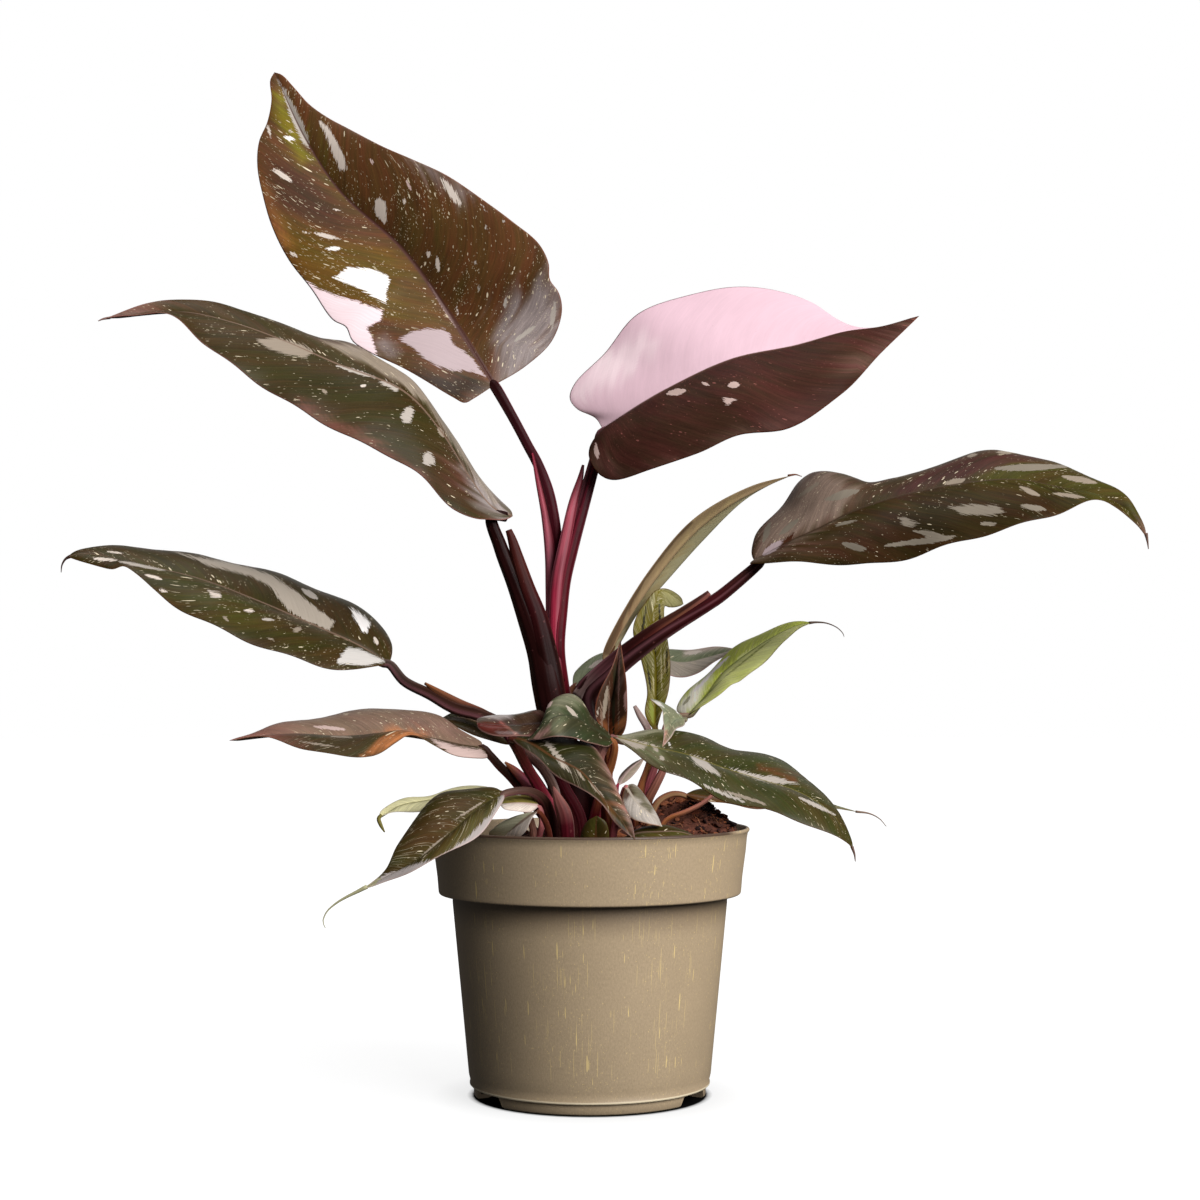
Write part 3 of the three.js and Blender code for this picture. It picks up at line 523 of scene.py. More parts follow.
def bladeFaces(rows, columns, flipped):
    # faces over the upper grid and the underside, which share their margin and both ends
    shared = np.arange(2 * rows * columns).reshape(2, rows, columns)
    for column in (0, -1):
        shared[1, :, column] = shared[0, :, column]
    for row in (0, -1):
        shared[:, row] = shared[0, row, columns // 2]
    used, numbers = np.unique(shared.ravel(), return_inverse=True)
    numbers = numbers.reshape(shared.shape)
    faces = []
    for side in (0, 1):
        for i in range(rows - 1):
            for j in range(columns - 1):
                near, far = numbers[side, i], numbers[side, i + 1]
                quad = [near[j], near[j + 1], far[j + 1], far[j]]
                if (side == 1) != flipped:
                    quad.reverse()
                corners = [int(k) for n, k in enumerate(quad) if k != quad[n - 1]]
                if len(set(corners)) > 2:
                    faces.append(corners)
    return used, faces


undersides = {}  # each leaf's underside midrib, where its stalk runs on


def buildLeaf(leaf, index):
    shape = leafShape
    grid, signed, width, middle = bladeGrid(leaf)
    rows, columns = grid.shape[:2]
    everywhere = np.ones((rows, columns))
    onLeft = (signed < 0)[None, :]
    normals = gridNormals(grid)
    toSky = normals @ unit(np.array(shape["sky"]))
    flipped = toSky[2:-2].mean() < 0
    if flipped:
        normals = -normals

    share = np.linspace(0, 1, rows)[:, None] * everywhere
    reach = np.abs(signed)[None, :] * everywhere
    length = runAlong(middle)[-1]
    ribDistance = reach * width
    marginDistance = (1 - reach) * width

    # each half arches up between the midrib and its margin, and the margin waves
    arch = np.where(onLeft, *leaf.get("arch", shape["arch"]))
    lift = arch * width * 4 * reach * (1 - reach) * (0.6 + 0.4 * np.sin(math.pi * share))
    fade = np.sin(math.pi * share) ** 0.6
    phase = 2 * math.pi * share * length / shape["waveLength"]
    phase = phase + np.where(onLeft, *shape["wavePhase"]) + index
    lift = lift + leaf.get("wave", shape["wave"]) * reach ** 2 * fade * np.sin(phase)
    # slight furrows between the side veins
    phase = 2 * math.pi * (share * length - 0.7 * ribDistance) / shape["furrowLength"]
    furrow = shape["furrow"] * np.minimum(1, width / 12) * np.sin(phase)
    lift = lift + furrow * np.sin(math.pi * reach) ** 0.5 * fade
    surface = grid + normals * lift[..., None]
    normals = gridNormals(surface)
    if flipped:
        normals = -normals

    # the blade thins out to its margin, and has a ridge above and a midrib below
    half = shape["thickness"] / 2 * np.sqrt(np.maximum(0, 1 - reach ** 8))
    narrowing = np.minimum(1, 0.12 + width / 3)
    small = np.minimum(1, length / 90) * (1 - 0.75 * share)
    groove = shape["groove"] * small * np.exp(-(ribDistance / 0.9) ** 2)
    ridge = leaf.get("ribWidth", 1.1) * np.clip(1.1 - share, 0.12, 1)
    ridgeHeight = 0.22 * ridge * np.exp(-(ribDistance / (0.55 * ridge)) ** 4)
    ribSpread = shape["ribWidth"] * small + 0.3
    rib = shape["ribHeight"] * small * np.exp(-(ribDistance / ribSpread) ** 2)
    upper = surface + normals * ((half + ridgeHeight - groove) * narrowing)[..., None]
    under = surface - normals * ((half + rib) * narrowing)[..., None]
    undersides[leaf["name"]] = under[:, columns // 2]

    used, faces = bladeFaces(rows, columns, flipped)
    points = np.concatenate([upper.reshape(-1, 3), under.reshape(-1, 3)])[used]
    bladeCount = len(points)
    if "drip" in leaf:
        # the tip runs out in a fine tapered hair
        path = smoothCurve(leaf["drip"], shape["dripSteps"])
        dripPoints, dripFaces = hair(path, shape["dripLean"], shape["dripSides"], bladeCount)
        points = np.concatenate([points, dripPoints])
        faces += dripFaces
    piece = makeMesh(leaf["name"], points, faces)

    # side veins leave the midrib and bend towards the tip
    bend = shape["veinBend"] * length * reach ** 1.2 * np.minimum(1, width / (0.18 * length))
    veinX = share * length - bend
    veinY = signed[None, :] * width + shape["halfShift"] * (signed > 0)[None, :]

    # colours
    pixels = onPhoto(surface)
    leftGround, rightGround = [linear(colour) for colour in leaf["ground"]]
    ground = np.where(onLeft[..., None], leftGround, rightGround) * everywhere[..., None]
    rough = roughField(veinX / 2.2, veinY / 12, index) - 0.5
    for colour, strength, softness, outline in leaf.get("zones", []):
        field = patch(pixels, outline) * pixelsPerMillimetre + softness * 1.8 * rough
        weight = strength * np.clip(0.5 + field / (2 * softness), 0, 1) ** 1.5
        ground = ground + (linear(colour) - ground) * weight[..., None]
    onPlain = np.where(onLeft, *leaf.get("plain", (0, 0))) * everywhere
    splash = noSplash * everywhere
    splashColour = linear("cream") * everywhere[..., None]
    ragged = leafLook["raggedSplash"] * everywhere
    marks = [(colour, spindle(pixels, mark), "raggedSplash")
             for colour, *mark in leaf.get("splashes", [])]
    marks += [(colour, patch(pixels, outline), "raggedPatch")
              for colour, outline in leaf.get("patches", [])]
    for colour, field, edge in marks:
        splashColour[field > splash] = linear(colour)
        ragged[field > splash] = leafLook[edge]
        splash = np.maximum(splash, field)

    if "tip" in leaf:
        colour, start = leaf["tip"]
        weight = np.clip((share - start) / (1 - start), 0, 1)
        ground = ground + (linear(colour) - ground) * weight[..., None]

    def both(above, below=None, onDrip=0.0):
        # values for the upper side, the underside and the hair at the tip
        below = above if below is None else below
        count = rows * columns
        joined = np.concatenate([above.reshape(count, -1), below.reshape(count, -1)])[used]
        extra = np.ones((len(points) - bladeCount, joined.shape[1])) * onDrip
        return np.concatenate([joined, extra]).squeeze()

    underColour = linear(leaf.get("under", "plum"))
    underGround = ground + (underColour - ground) * leaf.get("underShare", 0.6)
    dripColour = linear(leaf.get("dripColour", "dusk"))
    crowding = 0.3 + 2.4 * roughField(veinX / 7, veinY / 12, index + 40) ** 3
    darkness = np.clip(1.15 - ground[..., :3].mean(axis=-1) / 0.14, 0, 1)
    layers = {
        "ground": (ground, underGround, dripColour),
        "splashColour": (splashColour, None, dripColour),
        "splash": (splash, None, noSplash),
        "ragged": (ragged,),
        "speckles": (leaf.get("speckles", 0.3) * crowding * (1 - onPlain),),
        "plain": (onPlain,),
        "mottle": (leafLook["mottle"] * darkness * (1 - onPlain),),
        "hairs": (leaf.get("hairs", 0.75) * everywhere,),
        "ribDistance": (ribDistance / ridge, None, farOff),
        "marginDistance": (marginDistance + farOff * (width < 0.5), None, farOff),
        "ribColour": (linear(leaf.get("rib", "umber")) * everywhere[..., None],),
        "marginColour": (linear(leaf.get("margin", "russet")) * everywhere[..., None],),
    }
    for layer, values in layers.items():
        paint(piece, layer, both(*values))
    unwrap(piece, "veins", both(np.stack([veinX, veinY], axis=-1)))
    gloss = leaf.get("gloss", leafLook["roughness"])
    shine = leaf.get("shine", leafLook["shine"])
    speckleColour = leaf.get("speckleColour", "speck")
    finish = leafFinish(leaf["name"] + "Finish", index * 1.37, speckleColour, gloss, shine)
    piece.visible_shadow = leaf.get("castsShadow", True)
    place(piece, finish, leaf["slot"], nodeOf(leaf["name"]))


# Midribs and margins are x, y and z in millimetres. The rest is in the photograph's pixels:
# zones tint the ground softly (colour, strength, softness, outline), patches are sharp (colour,
# outline) and splashes are short strokes (colour, start, end, width). Four leaves cast no
# shadow, because the photograph shows none on the pot and the stalks behind them.
leaves = [
    {
        "name": "leafTop", "slot": "leaf_dark", "rows": 170, "halfColumns": 40,
        "ground": ("umber", "umber"), "rib": "maroonRib", "ribWidth": 1.9, "margin": "russet",
        "shine": 0.2, "speckles": 1, "arch": (0.04, 0.05), "wave": 0.3,
        "midrib": [[-37, 12, 268], [-55, 19, 297], [-74, 26, 324], [-99, 33, 348], [-114, 38, 371],
            [-127.5, 44, 399.5]],
        "left": [[-44.5, 7.5, 262.3], [-48, 6, 260.4], [-52.5, 6, 262.6], [-72, 6, 274], [-91, 8, 284],
            [-94, 9, 290], [-99, 10, 293], [-107.6, 14, 305], [-117.4, 19, 318], [-124.8, 23, 332],
            [-129, 27, 345], [-132, 31, 358], [-132, 35, 369], [-129.2, 38, 378], [-128, 40, 387],
            [-129, 43, 396]],
        "right": [[-25, 16, 276], [-15, 18, 286], [-11, 16, 297], [-12, 13, 304], [-15.5, 11, 309],
            [-16, 10, 315], [-20, 11, 323], [-30, 14, 332], [-41, 18, 341], [-56, 22, 352],
            [-70, 26, 359.5], [-83, 30, 366], [-97, 35, 374.5], [-106, 38, 380], [-113, 40, 385.5],
            [-119, 42, 392.5], [-124.5, 43.5, 398.4]],
        "zones": [
            ("gold", 0.85, 7, [(276, 210), (300, 216), (343, 239), (389, 246), (414, 267), (450, 330),
                (401, 330), (370, 312), (309, 285), (284, 258)]),
            ("umber", 0.5, 12, [(396, 262), (424, 284), (468, 350), (430, 336), (404, 330), (394, 296)]),
            ("lime", 0.9, 7, [(271, 92), (284, 92), (300, 125), (312, 160), (300, 168), (286, 142),
                (276, 118)]),
            ("moss", 0.35, 12, [(318, 130), (342, 168), (360, 206), (340, 200), (318, 168)]),
            ("rust", 0.25, 6, [(257, 170), (272, 190), (292, 244), (282, 250), (264, 214)]),
            ("deepBrown", 0.95, 9, [(392, 366), (430, 372), (478, 376), (488, 390), (456, 402),
                (420, 386)]),
            # painted sheen on the right lobe and in bands across the blade
            ("dove", 0.8, 16, [(500, 376), (496, 340), (512, 300), (552, 280), (568, 330), (540, 366),
                (512, 386)]),
            ("dove", 0.45, 9, [(410, 160), (440, 166), (470, 192), (462, 206), (430, 180)]),
            ("dove", 0.5, 7, [(372, 340), (386, 332), (402, 352), (396, 364), (378, 356)]),
            ("chestnut", 0.6, 10, [(266, 160), (300, 164), (350, 226), (340, 236), (300, 226),
                (272, 206)]),
            ("olive", 0.35, 16, [(400, 190), (440, 220), (470, 300), (440, 300), (400, 240)]),
        ],
        "patches": [
            ("silver", [(278, 80), (285, 90), (294, 106), (301, 118), (307, 133), (309, 148), (303, 144),
                (296, 129), (289, 114), (287, 105)]),
            ("cream", [(319, 121), (328, 127), (336, 140), (344, 156), (347, 170), (341, 170), (335, 158),
                (330, 145), (325, 133)]),
            ("cream", [(375, 201), (380, 198), (386, 203), (387, 221), (385, 224), (378, 218),
                (374, 209)]),
            ("cream", [(441, 178), (448, 182), (456, 192), (461, 203), (459, 207), (452, 199),
                (444, 187)]),
            ("white", [(333, 278), (348, 268), (369, 269), (387, 275), (390, 282), (386, 290), (387, 304),
                (378, 300), (362, 290), (348, 284)]),
            ("blush", [(303, 279), (319, 290), (336, 296), (352, 300), (369, 306), (383, 312), (380, 322),
                (366, 327), (372, 338), (377, 358), (360, 362), (338, 336), (319, 328), (300, 306)]),
            ("paleMauve", [(399, 339), (410, 333), (426, 329), (442, 330), (450, 334), (452, 343),
                (464, 352), (474, 361), (486, 378), (472, 372), (453, 371), (437, 366), (424, 358),
                (414, 349)]),
        ],
        "splashes": [
            ("cream", 267, 124, 271, 138, 3), ("white", 284, 137, 295, 140, 4),
            ("cream", 288, 130, 293, 133, 2), ("cream", 273, 169, 292, 182, 5),
            ("greyPink", 406, 180, 412, 191, 3), ("greyPink", 370, 159, 373, 164, 3),
            ("cream", 300, 232, 309, 234, 2), ("cream", 313, 233, 341, 240, 4),
            ("white", 326, 249, 341, 249, 4), ("cream", 290, 252, 297, 257, 4),
            ("greyPink", 428, 282, 456, 328, 3), ("cream", 437, 256, 439, 272, 4),
            ("cream", 428, 250, 429, 258, 4), ("silver", 506, 298, 505, 308, 4),
            ("silver", 480, 285, 479, 291, 3), ("silver", 475, 261, 476, 266, 3),
            ("silver", 486, 225, 487, 230, 3), ("silver", 503, 217, 504, 223, 3),
            ("silver", 480, 203, 488, 213, 2), ("cream", 404, 198, 405, 205, 3),
            ("cream", 352, 197, 354, 203, 2), ("cream", 332, 210, 340, 211, 2),
            ("cream", 457, 306, 458, 315, 2), ("silver", 555, 301, 551, 330, 5),
            ("silver", 536, 325, 514, 342, 4),
        ],
    },
    {
        "name": "leafPink", "slot": "leaf_pale", "rows": 160, "halfColumns": 38,
        "ground": ("petal", "mahogany"), "plain": (1, 0), "rib": "cocoa", "margin": "russet",
        "speckles": 0.4, "arch": (0.01, 0.12), "wave": 0.2, "shine": 0.03, "gloss": 0.55,
        "speckleColour": "rosewood",
        "midrib": [[5, 6, 250], [16, 2, 257], [30, 0, 265], [54, 0, 276], [79, 4, 282], [98, 8, 288],
            [113, 13, 291], [128, 18, 296]],
        "left": [[2, 10, 255], [-5, 14, 259], [-8, 18, 264], [-6, 21, 270], [5, 25, 282], [19, 30, 299],
            [47, 34, 309], [69, 34, 310], [88, 30, 303], [100, 22, 291], [108, 21, 289], [118, 19, 292]],
        "right": [[0, 0, 243], [0, -5, 237], [4, -9, 231], [9, -12, 229], [22, -18, 232], [40, -22, 238],
            [54, -24, 244], [73, -22, 247], [94, -12, 261], [111, 4, 279]],
        "zones": [
            # painted highlights on the pale half, and painted light over its shaded lobe
            ("blush", 0.9, 9, [(598, 352), (614, 344), (624, 362), (616, 384), (604, 388)]),
            ("blush", 0.6, 10, [(564, 398), (580, 374), (604, 350), (640, 332), (662, 342), (640, 370),
                (608, 392), (582, 402)]),
            ("mauve", 0.2, 8, [(594, 440), (625, 474), (680, 458), (735, 432), (800, 420), (740, 446),
                (690, 470), (620, 486), (588, 470)]),
            ("mauve", 0.3, 12, [(820, 380), (880, 340), (923, 315), (915, 340), (860, 380)]),
        ],
        "patches": [
            ("greyPink", [(722, 398), (738, 399), (731, 403), (727, 406)]),
        ],
        "splashes": [
            ("greyPink", 668, 394, 685, 391, 7), ("greyPink", 729, 386, 739, 385, 7),
            ("greyPink", 702, 383, 709, 386, 3), ("greyPink", 596, 444, 598, 459, 5),
        ],
    },
    {
        "name": "leafHighLeft", "slot": "leaf_dark", "rows": 170, "halfColumns": 34,
        "tip": ("mauve", 0.86), "dripColour": "mauve", "ground": ("oliveDark", "oliveDark"),
        "rib": "taupe", "margin": "rosewood", "speckles": 0.35, "arch": (0.08, 0.08), "wave": 0.6,
        "shine": 0.1,
        "midrib": [[-28.6, -15, 215.2], [-36, -17, 218], [-45, -20, 230], [-55, -24, 246], [-68, -27, 260],
            [-93, -30, 270], [-112, -33, 278], [-130, -36, 284], [-147, -40, 287], [-173, -50, 283]],
        "drip": [[-171, -49.2, 283.4, 0.5], [-173.4, -50, 282.8, 0.35], [-175, -50.5, 282, 0.15]],
        "left": [[-31, -19, 213.7], [-36, -24, 213.2], [-42, -29, 213], [-49, -34, 216], [-64, -41, 230],
            [-90, -47, 243], [-117, -50, 259], [-136, -52, 273], [-150, -52, 284], [-163, -51, 284]],
        "right": [[-29.4, -12, 217.4], [-35, -7, 223], [-47, 0, 238], [-61, 4, 258], [-72, 5, 271],
            [-91, 3, 282], [-103, -4, 284], [-115, -12, 287], [-127, -22, 291], [-149, -34, 293],
            [-159, -42, 290]],
        "zones": [
            ("shade", 0.9, 14, [(190, 318), (260, 336), (330, 362), (400, 398), (440, 440), (446, 470),
                (400, 446), (330, 412), (260, 376), (210, 344)]),
            ("cocoa", 0.8, 16, [(430, 450), (470, 460), (512, 520), (480, 516), (440, 490)]),
            ("steel", 0.7, 10, [(462, 470), (486, 482), (516, 514), (500, 520), (478, 506)]),
            ("rosewood", 0.4, 5, [(300, 402), (360, 430), (420, 470), (440, 500), (420, 496), (370, 460),
                (300, 422)]),
            # painted sheen along the far half
            ("ash", 0.85, 2, [(320, 340), (345, 344), (376, 354), (411, 376), (432, 400), (423, 402),
                (404, 388), (370, 366), (345, 354)]),
            ("ash", 0.6, 1.5, [(426, 392), (456, 438), (476, 468), (498, 502), (494, 506), (472, 474),
                (450, 442), (423, 400)]),
            ("umber", 0.4, 10, [(120, 300), (180, 296), (200, 306), (150, 316)]),
        ],
        "patches": [
            ("ash", [(256, 340), (275, 338), (300, 344), (314, 352), (306, 358), (286, 355), (268, 349)]),
            ("silver", [(378, 381), (387, 382), (398, 388), (396, 392), (389, 389)]),
            ("silver", [(406, 408), (411, 406), (414, 412), (410, 423), (403, 423), (400, 416)]),
            ("silver", [(422, 454), (429, 453), (436, 461), (434, 465), (424, 465)]),
        ],
        "splashes": [
            ("silver", 336, 366, 376, 378, 4), ("cream", 360, 387, 366, 386, 3),
            ("ash", 322, 390, 327, 394, 4), ("ash", 438, 428, 443, 437, 5),
        ],
    },
    {
        "name": "leafMidLeft", "slot": "leaf_green", "rows": 170, "halfColumns": 34,
        "dripColour": "chestnut", "ground": ("oliveDark", "oliveDark"), "rib": "taupe", "margin": "umber",
        "speckles": 0.9,
        "midrib": [[-77, 2, 161], [-89, 0, 168], [-100, -2, 173], [-125, -6, 184], [-146, -10, 192],
            [-171, -14, 198], [-183, -17, 200.6], [-189, -18.4, 200.8], [-193, -19, 199.8]],
        "left": [[-78, -6, 160], [-87, -16, 158], [-97, -24, 159], [-118, -32, 166], [-143, -34, 177],
            [-159, -30, 187], [-171, -24, 196.4], [-175, -24, 195.2], [-180, -22, 195.8],
            [-188, -20, 198]],
        "right": [[-76, 6, 162], [-76, 12, 168], [-80, 18, 175], [-89, 23, 182], [-117, 26, 194],
            [-147, 22, 201], [-175, 6, 205], [-187, -8, 204], [-191, -14, 202.4]],
        "drip": [[-192, -18.8, 200, 0.7], [-193.6, -19.2, 199, 0.45], [-194.8, -19.6, 196.8, 0.3],
            [-195, -20, 194, 0.15]],
        "zones": [
            ("deepOlive", 0.6, 20, [(110, 548), (200, 570), (300, 620), (380, 640), (370, 670), (260, 660),
                (160, 610)]),
            ("umber", 0.5, 8, [(150, 590), (200, 625), (260, 650), (340, 668), (300, 672), (230, 656),
                (160, 612)]),
            ("moss", 0.25, 12, [(130, 556), (180, 566), (240, 600), (300, 640), (240, 630), (170, 590)]),
        ],
        "patches": [
            # painted sheen on the far half
            ("stone", [(170, 550), (188, 556), (222, 562), (250, 568), (272, 576), (294, 591), (316, 608),
                (334, 622), (330, 631), (312, 624), (291, 613), (282, 603), (270, 587), (252, 577),
                (211, 567)]),
            ("cream", [(208, 591), (220, 594), (221, 598), (211, 597)]),
            ("white", [(350, 608), (360, 614), (370, 623), (367, 633), (361, 631), (355, 619)]),
            ("paleAsh", [(337, 660), (348, 648), (358, 649), (386, 662), (371, 665), (339, 664)]),
        ],
        "splashes": [
            ("cream", 244, 611, 254, 612, 2.6), ("silver", 261, 619, 275, 621, 3),
            ("ash", 293, 631, 301, 629, 5), ("ash", 266, 639, 274, 640, 2.4),
            ("cream", 374, 638, 377, 645, 4), ("silver", 119, 562, 165, 571, 3),
            ("cream", 94, 559, 117, 561, 3), ("cream", 145, 575, 162, 580, 3),
            ("ash", 223, 617, 228, 621, 3), ("cream", 107, 552, 123, 554, 2),
            ("cream", 159, 590, 167, 592, 3), ("silver", 302, 590, 317, 599, 6),
        ],
    },
    {
        "name": "leafHighRight", "slot": "leaf_dark", "rows": 170, "halfColumns": 34, "dripColour": "dusk",
        "tip": ("dusk", 0.95), "ground": ("peat", "oliveDark"), "rib": "peat", "margin": "umber",
        "speckles": 0.6, "shine": 0.04,
        "midrib": [[61, -18, 198], [74, -22, 205], [85, -25, 210], [97, -28, 216], [113, -32, 221],
            [134, -37, 225], [154, -42, 226], [168, -45, 223], [181, -48, 220], [191, -51, 214],
            [195.4, -52.5, 208.5], [197, -53, 204.6]],
        "left": [[60, -16, 201], [61, -12, 206], [63, -8, 210], [72, 0, 220], [80, 6, 230], [87, 10, 234],
            [93, 11, 233], [101, 6, 227], [113, -2, 228], [127, -5, 233], [139, -7, 237], [151, -9, 240],
            [168, -22, 235], [184, -40, 226], [191, -48, 220], [195, -50, 213], [196.8, -52, 208]],
        "right": [[59, -22, 197], [67, -32, 197], [83, -42, 196], [97, -50, 195], [108, -55, 196],
            [132, -62, 203], [160, -62, 211], [178, -58, 217], [186, -55, 215], [193, -55, 209],
            [195.6, -54, 206]],
        "drip": [[196.8, -53, 206, 0.7], [197.2, -53.4, 203.4, 0.4], [197.4, -54, 200.4, 0.15]],
        "zones": [
            # painted sheen on the lobe
            ("dustyRose", 0.5, 8, [(752, 560), (764, 510), (796, 474), (826, 472), (850, 490), (836, 520),
                (800, 540)]),
            ("ash", 0.5, 8, [(756, 560), (770, 510), (800, 478), (826, 474), (858, 488), (840, 516),
                (800, 540)]),
            ("cocoa", 0.6, 16, [(770, 562), (840, 530), (900, 515), (900, 560), (830, 566)]),
            ("olive", 0.9, 10, [(960, 466), (1010, 452), (1080, 468), (1130, 492), (1100, 510),
                (1040, 500), (980, 490)]),
            ("olive", 0.9, 5, [(1080, 480), (1110, 480), (1138, 496), (1152, 524), (1142, 530),
                (1120, 506)]),
            ("plum", 0.9, 5, [(880, 492), (926, 474), (960, 459), (1009, 452), (1060, 460), (1010, 466),
                (990, 474), (950, 484), (900, 498)]),
            ("deepBrown", 0.85, 14, [(850, 530), (900, 508), (960, 494), (1060, 484), (1080, 500),
                (1040, 530), (960, 556), (880, 566)]),
        ],
        "patches": [
            ("putty", [(949, 507), (976, 505), (997, 506), (1006, 512), (992, 516), (962, 515)]),
            ("putty", [(899, 519), (906, 518), (919, 524), (914, 527), (903, 526)]),
            ("maroon", [(779, 548), (786, 538), (797, 531), (790, 543), (782, 550)]),
        ],
        "splashes": [
            ("ash", 798, 498, 819, 483, 4), ("putty", 826, 500, 858, 491, 8),
            ("putty", 780, 535, 799, 520, 6), ("putty", 764, 542, 770, 523, 6),
            ("paleMauve", 764, 555, 781, 542, 8), ("putty", 995, 469, 1066, 467, 7),
            ("ash", 997, 453, 1019, 452, 4), ("ash", 968, 457, 977, 455, 4),
            ("ash", 946, 484, 965, 480, 6), ("putty", 914, 531, 942, 536, 5),
            ("putty", 1021, 506, 1045, 510, 6), ("ash", 1020, 487, 1039, 496, 5),
            ("ash", 1053, 494, 1084, 498, 4), ("ash", 1063, 477, 1096, 483, 6),
            ("putty", 843, 544, 866, 550, 7), ("putty", 885, 546, 968, 536, 6),
            ("putty", 980, 524, 997, 524, 4), ("putty", 836, 526, 859, 520, 3),
        ],
    },
    {
        "name": "leafLowLeft", "slot": "leaf_dark", "rows": 130, "ground": ("oliveDark", "taupe"),
        "rib": "taupe", "margin": "umber", "speckles": 0.5, "hairs": 0.95, "tip": ("rosewood", 0.7),
        "midrib": [[-39, -28, 130], [-47, -31, 131], [-56, -34, 133], [-70, -38, 135], [-87, -44, 134],
            [-106, -50, 135], [-126, -58, 133]],
        "left": [[-37, -34, 126], [-46, -42, 127], [-55, -47, 131], [-63, -48, 134], [-68, -52, 132],
            [-76, -60, 128], [-84, -62, 127], [-98, -62, 130], [-113, -58, 134]],
        "right": [[-40, -22, 132], [-48, -14, 136], [-58, -8, 141], [-78, -8, 143], [-97, -18, 140],
            [-112, -36, 138], [-120, -48, 135]],
        "zones": [
            ("rust", 0.85, 7, [(376, 742), (390, 730), (412, 728), (426, 735), (404, 740), (384, 753),
                (362, 757)]),
            ("mauve", 0.4, 8, [(400, 712), (450, 716), (486, 738), (440, 740), (404, 728)]),
        ],
        "patches": [
            ("greyPink", [(432, 740), (446, 744), (462, 748), (482, 751), (490, 756), (490, 764),
                (470, 762), (450, 754), (438, 746)]),
        ],
        "splashes": [
            ("greyPink", 314, 727, 345, 730, 3.5), ("ash", 300, 742, 340, 748, 2),
            ("ash", 330, 737, 352, 738, 1.5),
        ],
    },
    {
        "name": "leafLowRight", "slot": "leaf_green", "rows": 150, "halfColumns": 34, "castsShadow": False,
        "dripColour": "dusk", "ground": ("lowOlive", "lowOlive"), "rib": "lightOlive", "margin": "umber",
        "speckles": 0.8,
        "midrib": [[7.6, -27.8, 134], [22, -36, 130], [36, -42, 127], [47, -47, 123], [60, -52, 119],
            [73, -57, 115], [84, -62, 108], [89, -65, 100], [91.2, -66, 95.2]],
        "drip": [[90.8, -65.8, 96.6, 0.6], [91.6, -66.4, 94, 0.35], [91.8, -67, 91.6, 0.15]],
        "left": [[13, -24, 134], [24, -12, 136], [41, -6, 131.8], [54, -8, 125.8], [68, -14, 123.8],
            [75, -20, 121], [83, -38, 113], [89, -54, 105], [91, -61, 99]],
        "right": [[11, -35, 132], [19, -50, 126], [34, -63, 119], [49, -71, 112], [66, -75, 108],
            [81, -73, 102], [87, -70, 99], [90, -67.5, 97]],
        "zones": [
            ("mossGrey", 0.6, 8, [(610, 738), (640, 738), (668, 748), (660, 764), (620, 750)]),
            ("mist", 0.7, 3, [(616, 736), (640, 729), (664, 725), (664, 733), (640, 736), (622, 741)]),
            ("russet", 0.5, 3, [(757, 764), (798, 776), (796, 784), (757, 770)]),
            ("umber", 0.25, 10, [(800, 800), (850, 820), (852, 850), (830, 826)]),
        ],
        "patches": [
            ("stone", [(612, 735), (622, 739), (634, 741), (648, 743), (644, 750), (636, 749),
                (624, 744)]),
            ("silver", [(689, 755), (704, 759), (720, 776), (707, 771), (695, 765)]),
            ("silver", [(729, 768), (760, 776), (775, 777), (800, 785), (770, 783), (745, 776)]),
        ],
        "splashes": [
            ("silver", 696, 782, 745, 803, 3), ("silver", 799, 798, 835, 815, 4),
            ("stone", 652, 745, 658, 752, 4), ("stone", 660, 757, 664, 760, 4),
            ("stone", 666, 772, 692, 782, 3), ("paleAsh", 668, 742, 671, 748, 2),
            ("ash", 720, 790, 770, 806, 3),
        ],
    },
    {
        "name": "leafOverRim", "slot": "leaf_dark", "rows": 150, "halfColumns": 32, "dripColour": "sage",
        "ground": ("deepOlive", "deepOlive"), "rib": "olive", "margin": "greyPink", "speckles": 0.5,
        "hairs": 1.0, "ribWidth": 0.8,
        "midrib": [[-30, -48, 114], [-38, -60, 110], [-48, -69, 101], [-58, -74, 93], [-69, -76, 87],
            [-77, -76, 83]],
        "left": [[-34, -46, 116], [-42, -46, 116], [-52, -50, 114], [-61, -58, 106], [-66, -67, 97],
            [-69, -73, 90], [-73, -76, 86]],
        "right": [[-30, -56, 112], [-32, -64, 108], [-37, -72, 102], [-46, -78, 96], [-59, -80, 90],
            [-68, -78, 86], [-74, -77, 83.6]],
        "drip": [[-75.5, -76, 83.8, 0.8], [-79, -76, 82, 0.6], [-83, -76, 80, 0.45],
            [-86.2, -76, 78, 0.35], [-89.2, -76, 75.2, 0.25], [-90.4, -76, 72, 0.2],
            [-89.6, -76, 69.8, 0.12]],
        "zones": [
            ("lightOlive", 0.25, 5, [(500, 796), (494, 820), (470, 842), (430, 868), (404, 880),
                (440, 842), (474, 816)]),
            ("umber", 0.3, 10, [(440, 800), (470, 798), (440, 850), (400, 870), (410, 830)]),
            ("sage", 1.0, 2, [(340, 960), (300, 940), (330, 890), (384, 877), (390, 886), (350, 900)]),
        ],
        "patches": [
            ("steel", [(512, 796), (506, 822), (474, 850), (437, 870), (400, 888), (372, 892), (382, 876),
                (437, 858), (465, 840), (491, 815), (501, 796)]),
        ],
        "splashes": [
            ("ash", 486, 800, 452, 822, 2), ("ash", 450, 832, 420, 858, 2),
        ],
    },
    {
        "name": "leafPaleLeft", "slot": "leaf_green", "rows": 80, "halfColumns": 16,
        "dripColour": "lightOlive", "ground": ("paleGreen", "paleGreen"), "rib": "lightOlive",
        "margin": "cream", "speckles": 0.3, "under": "paleGreen",
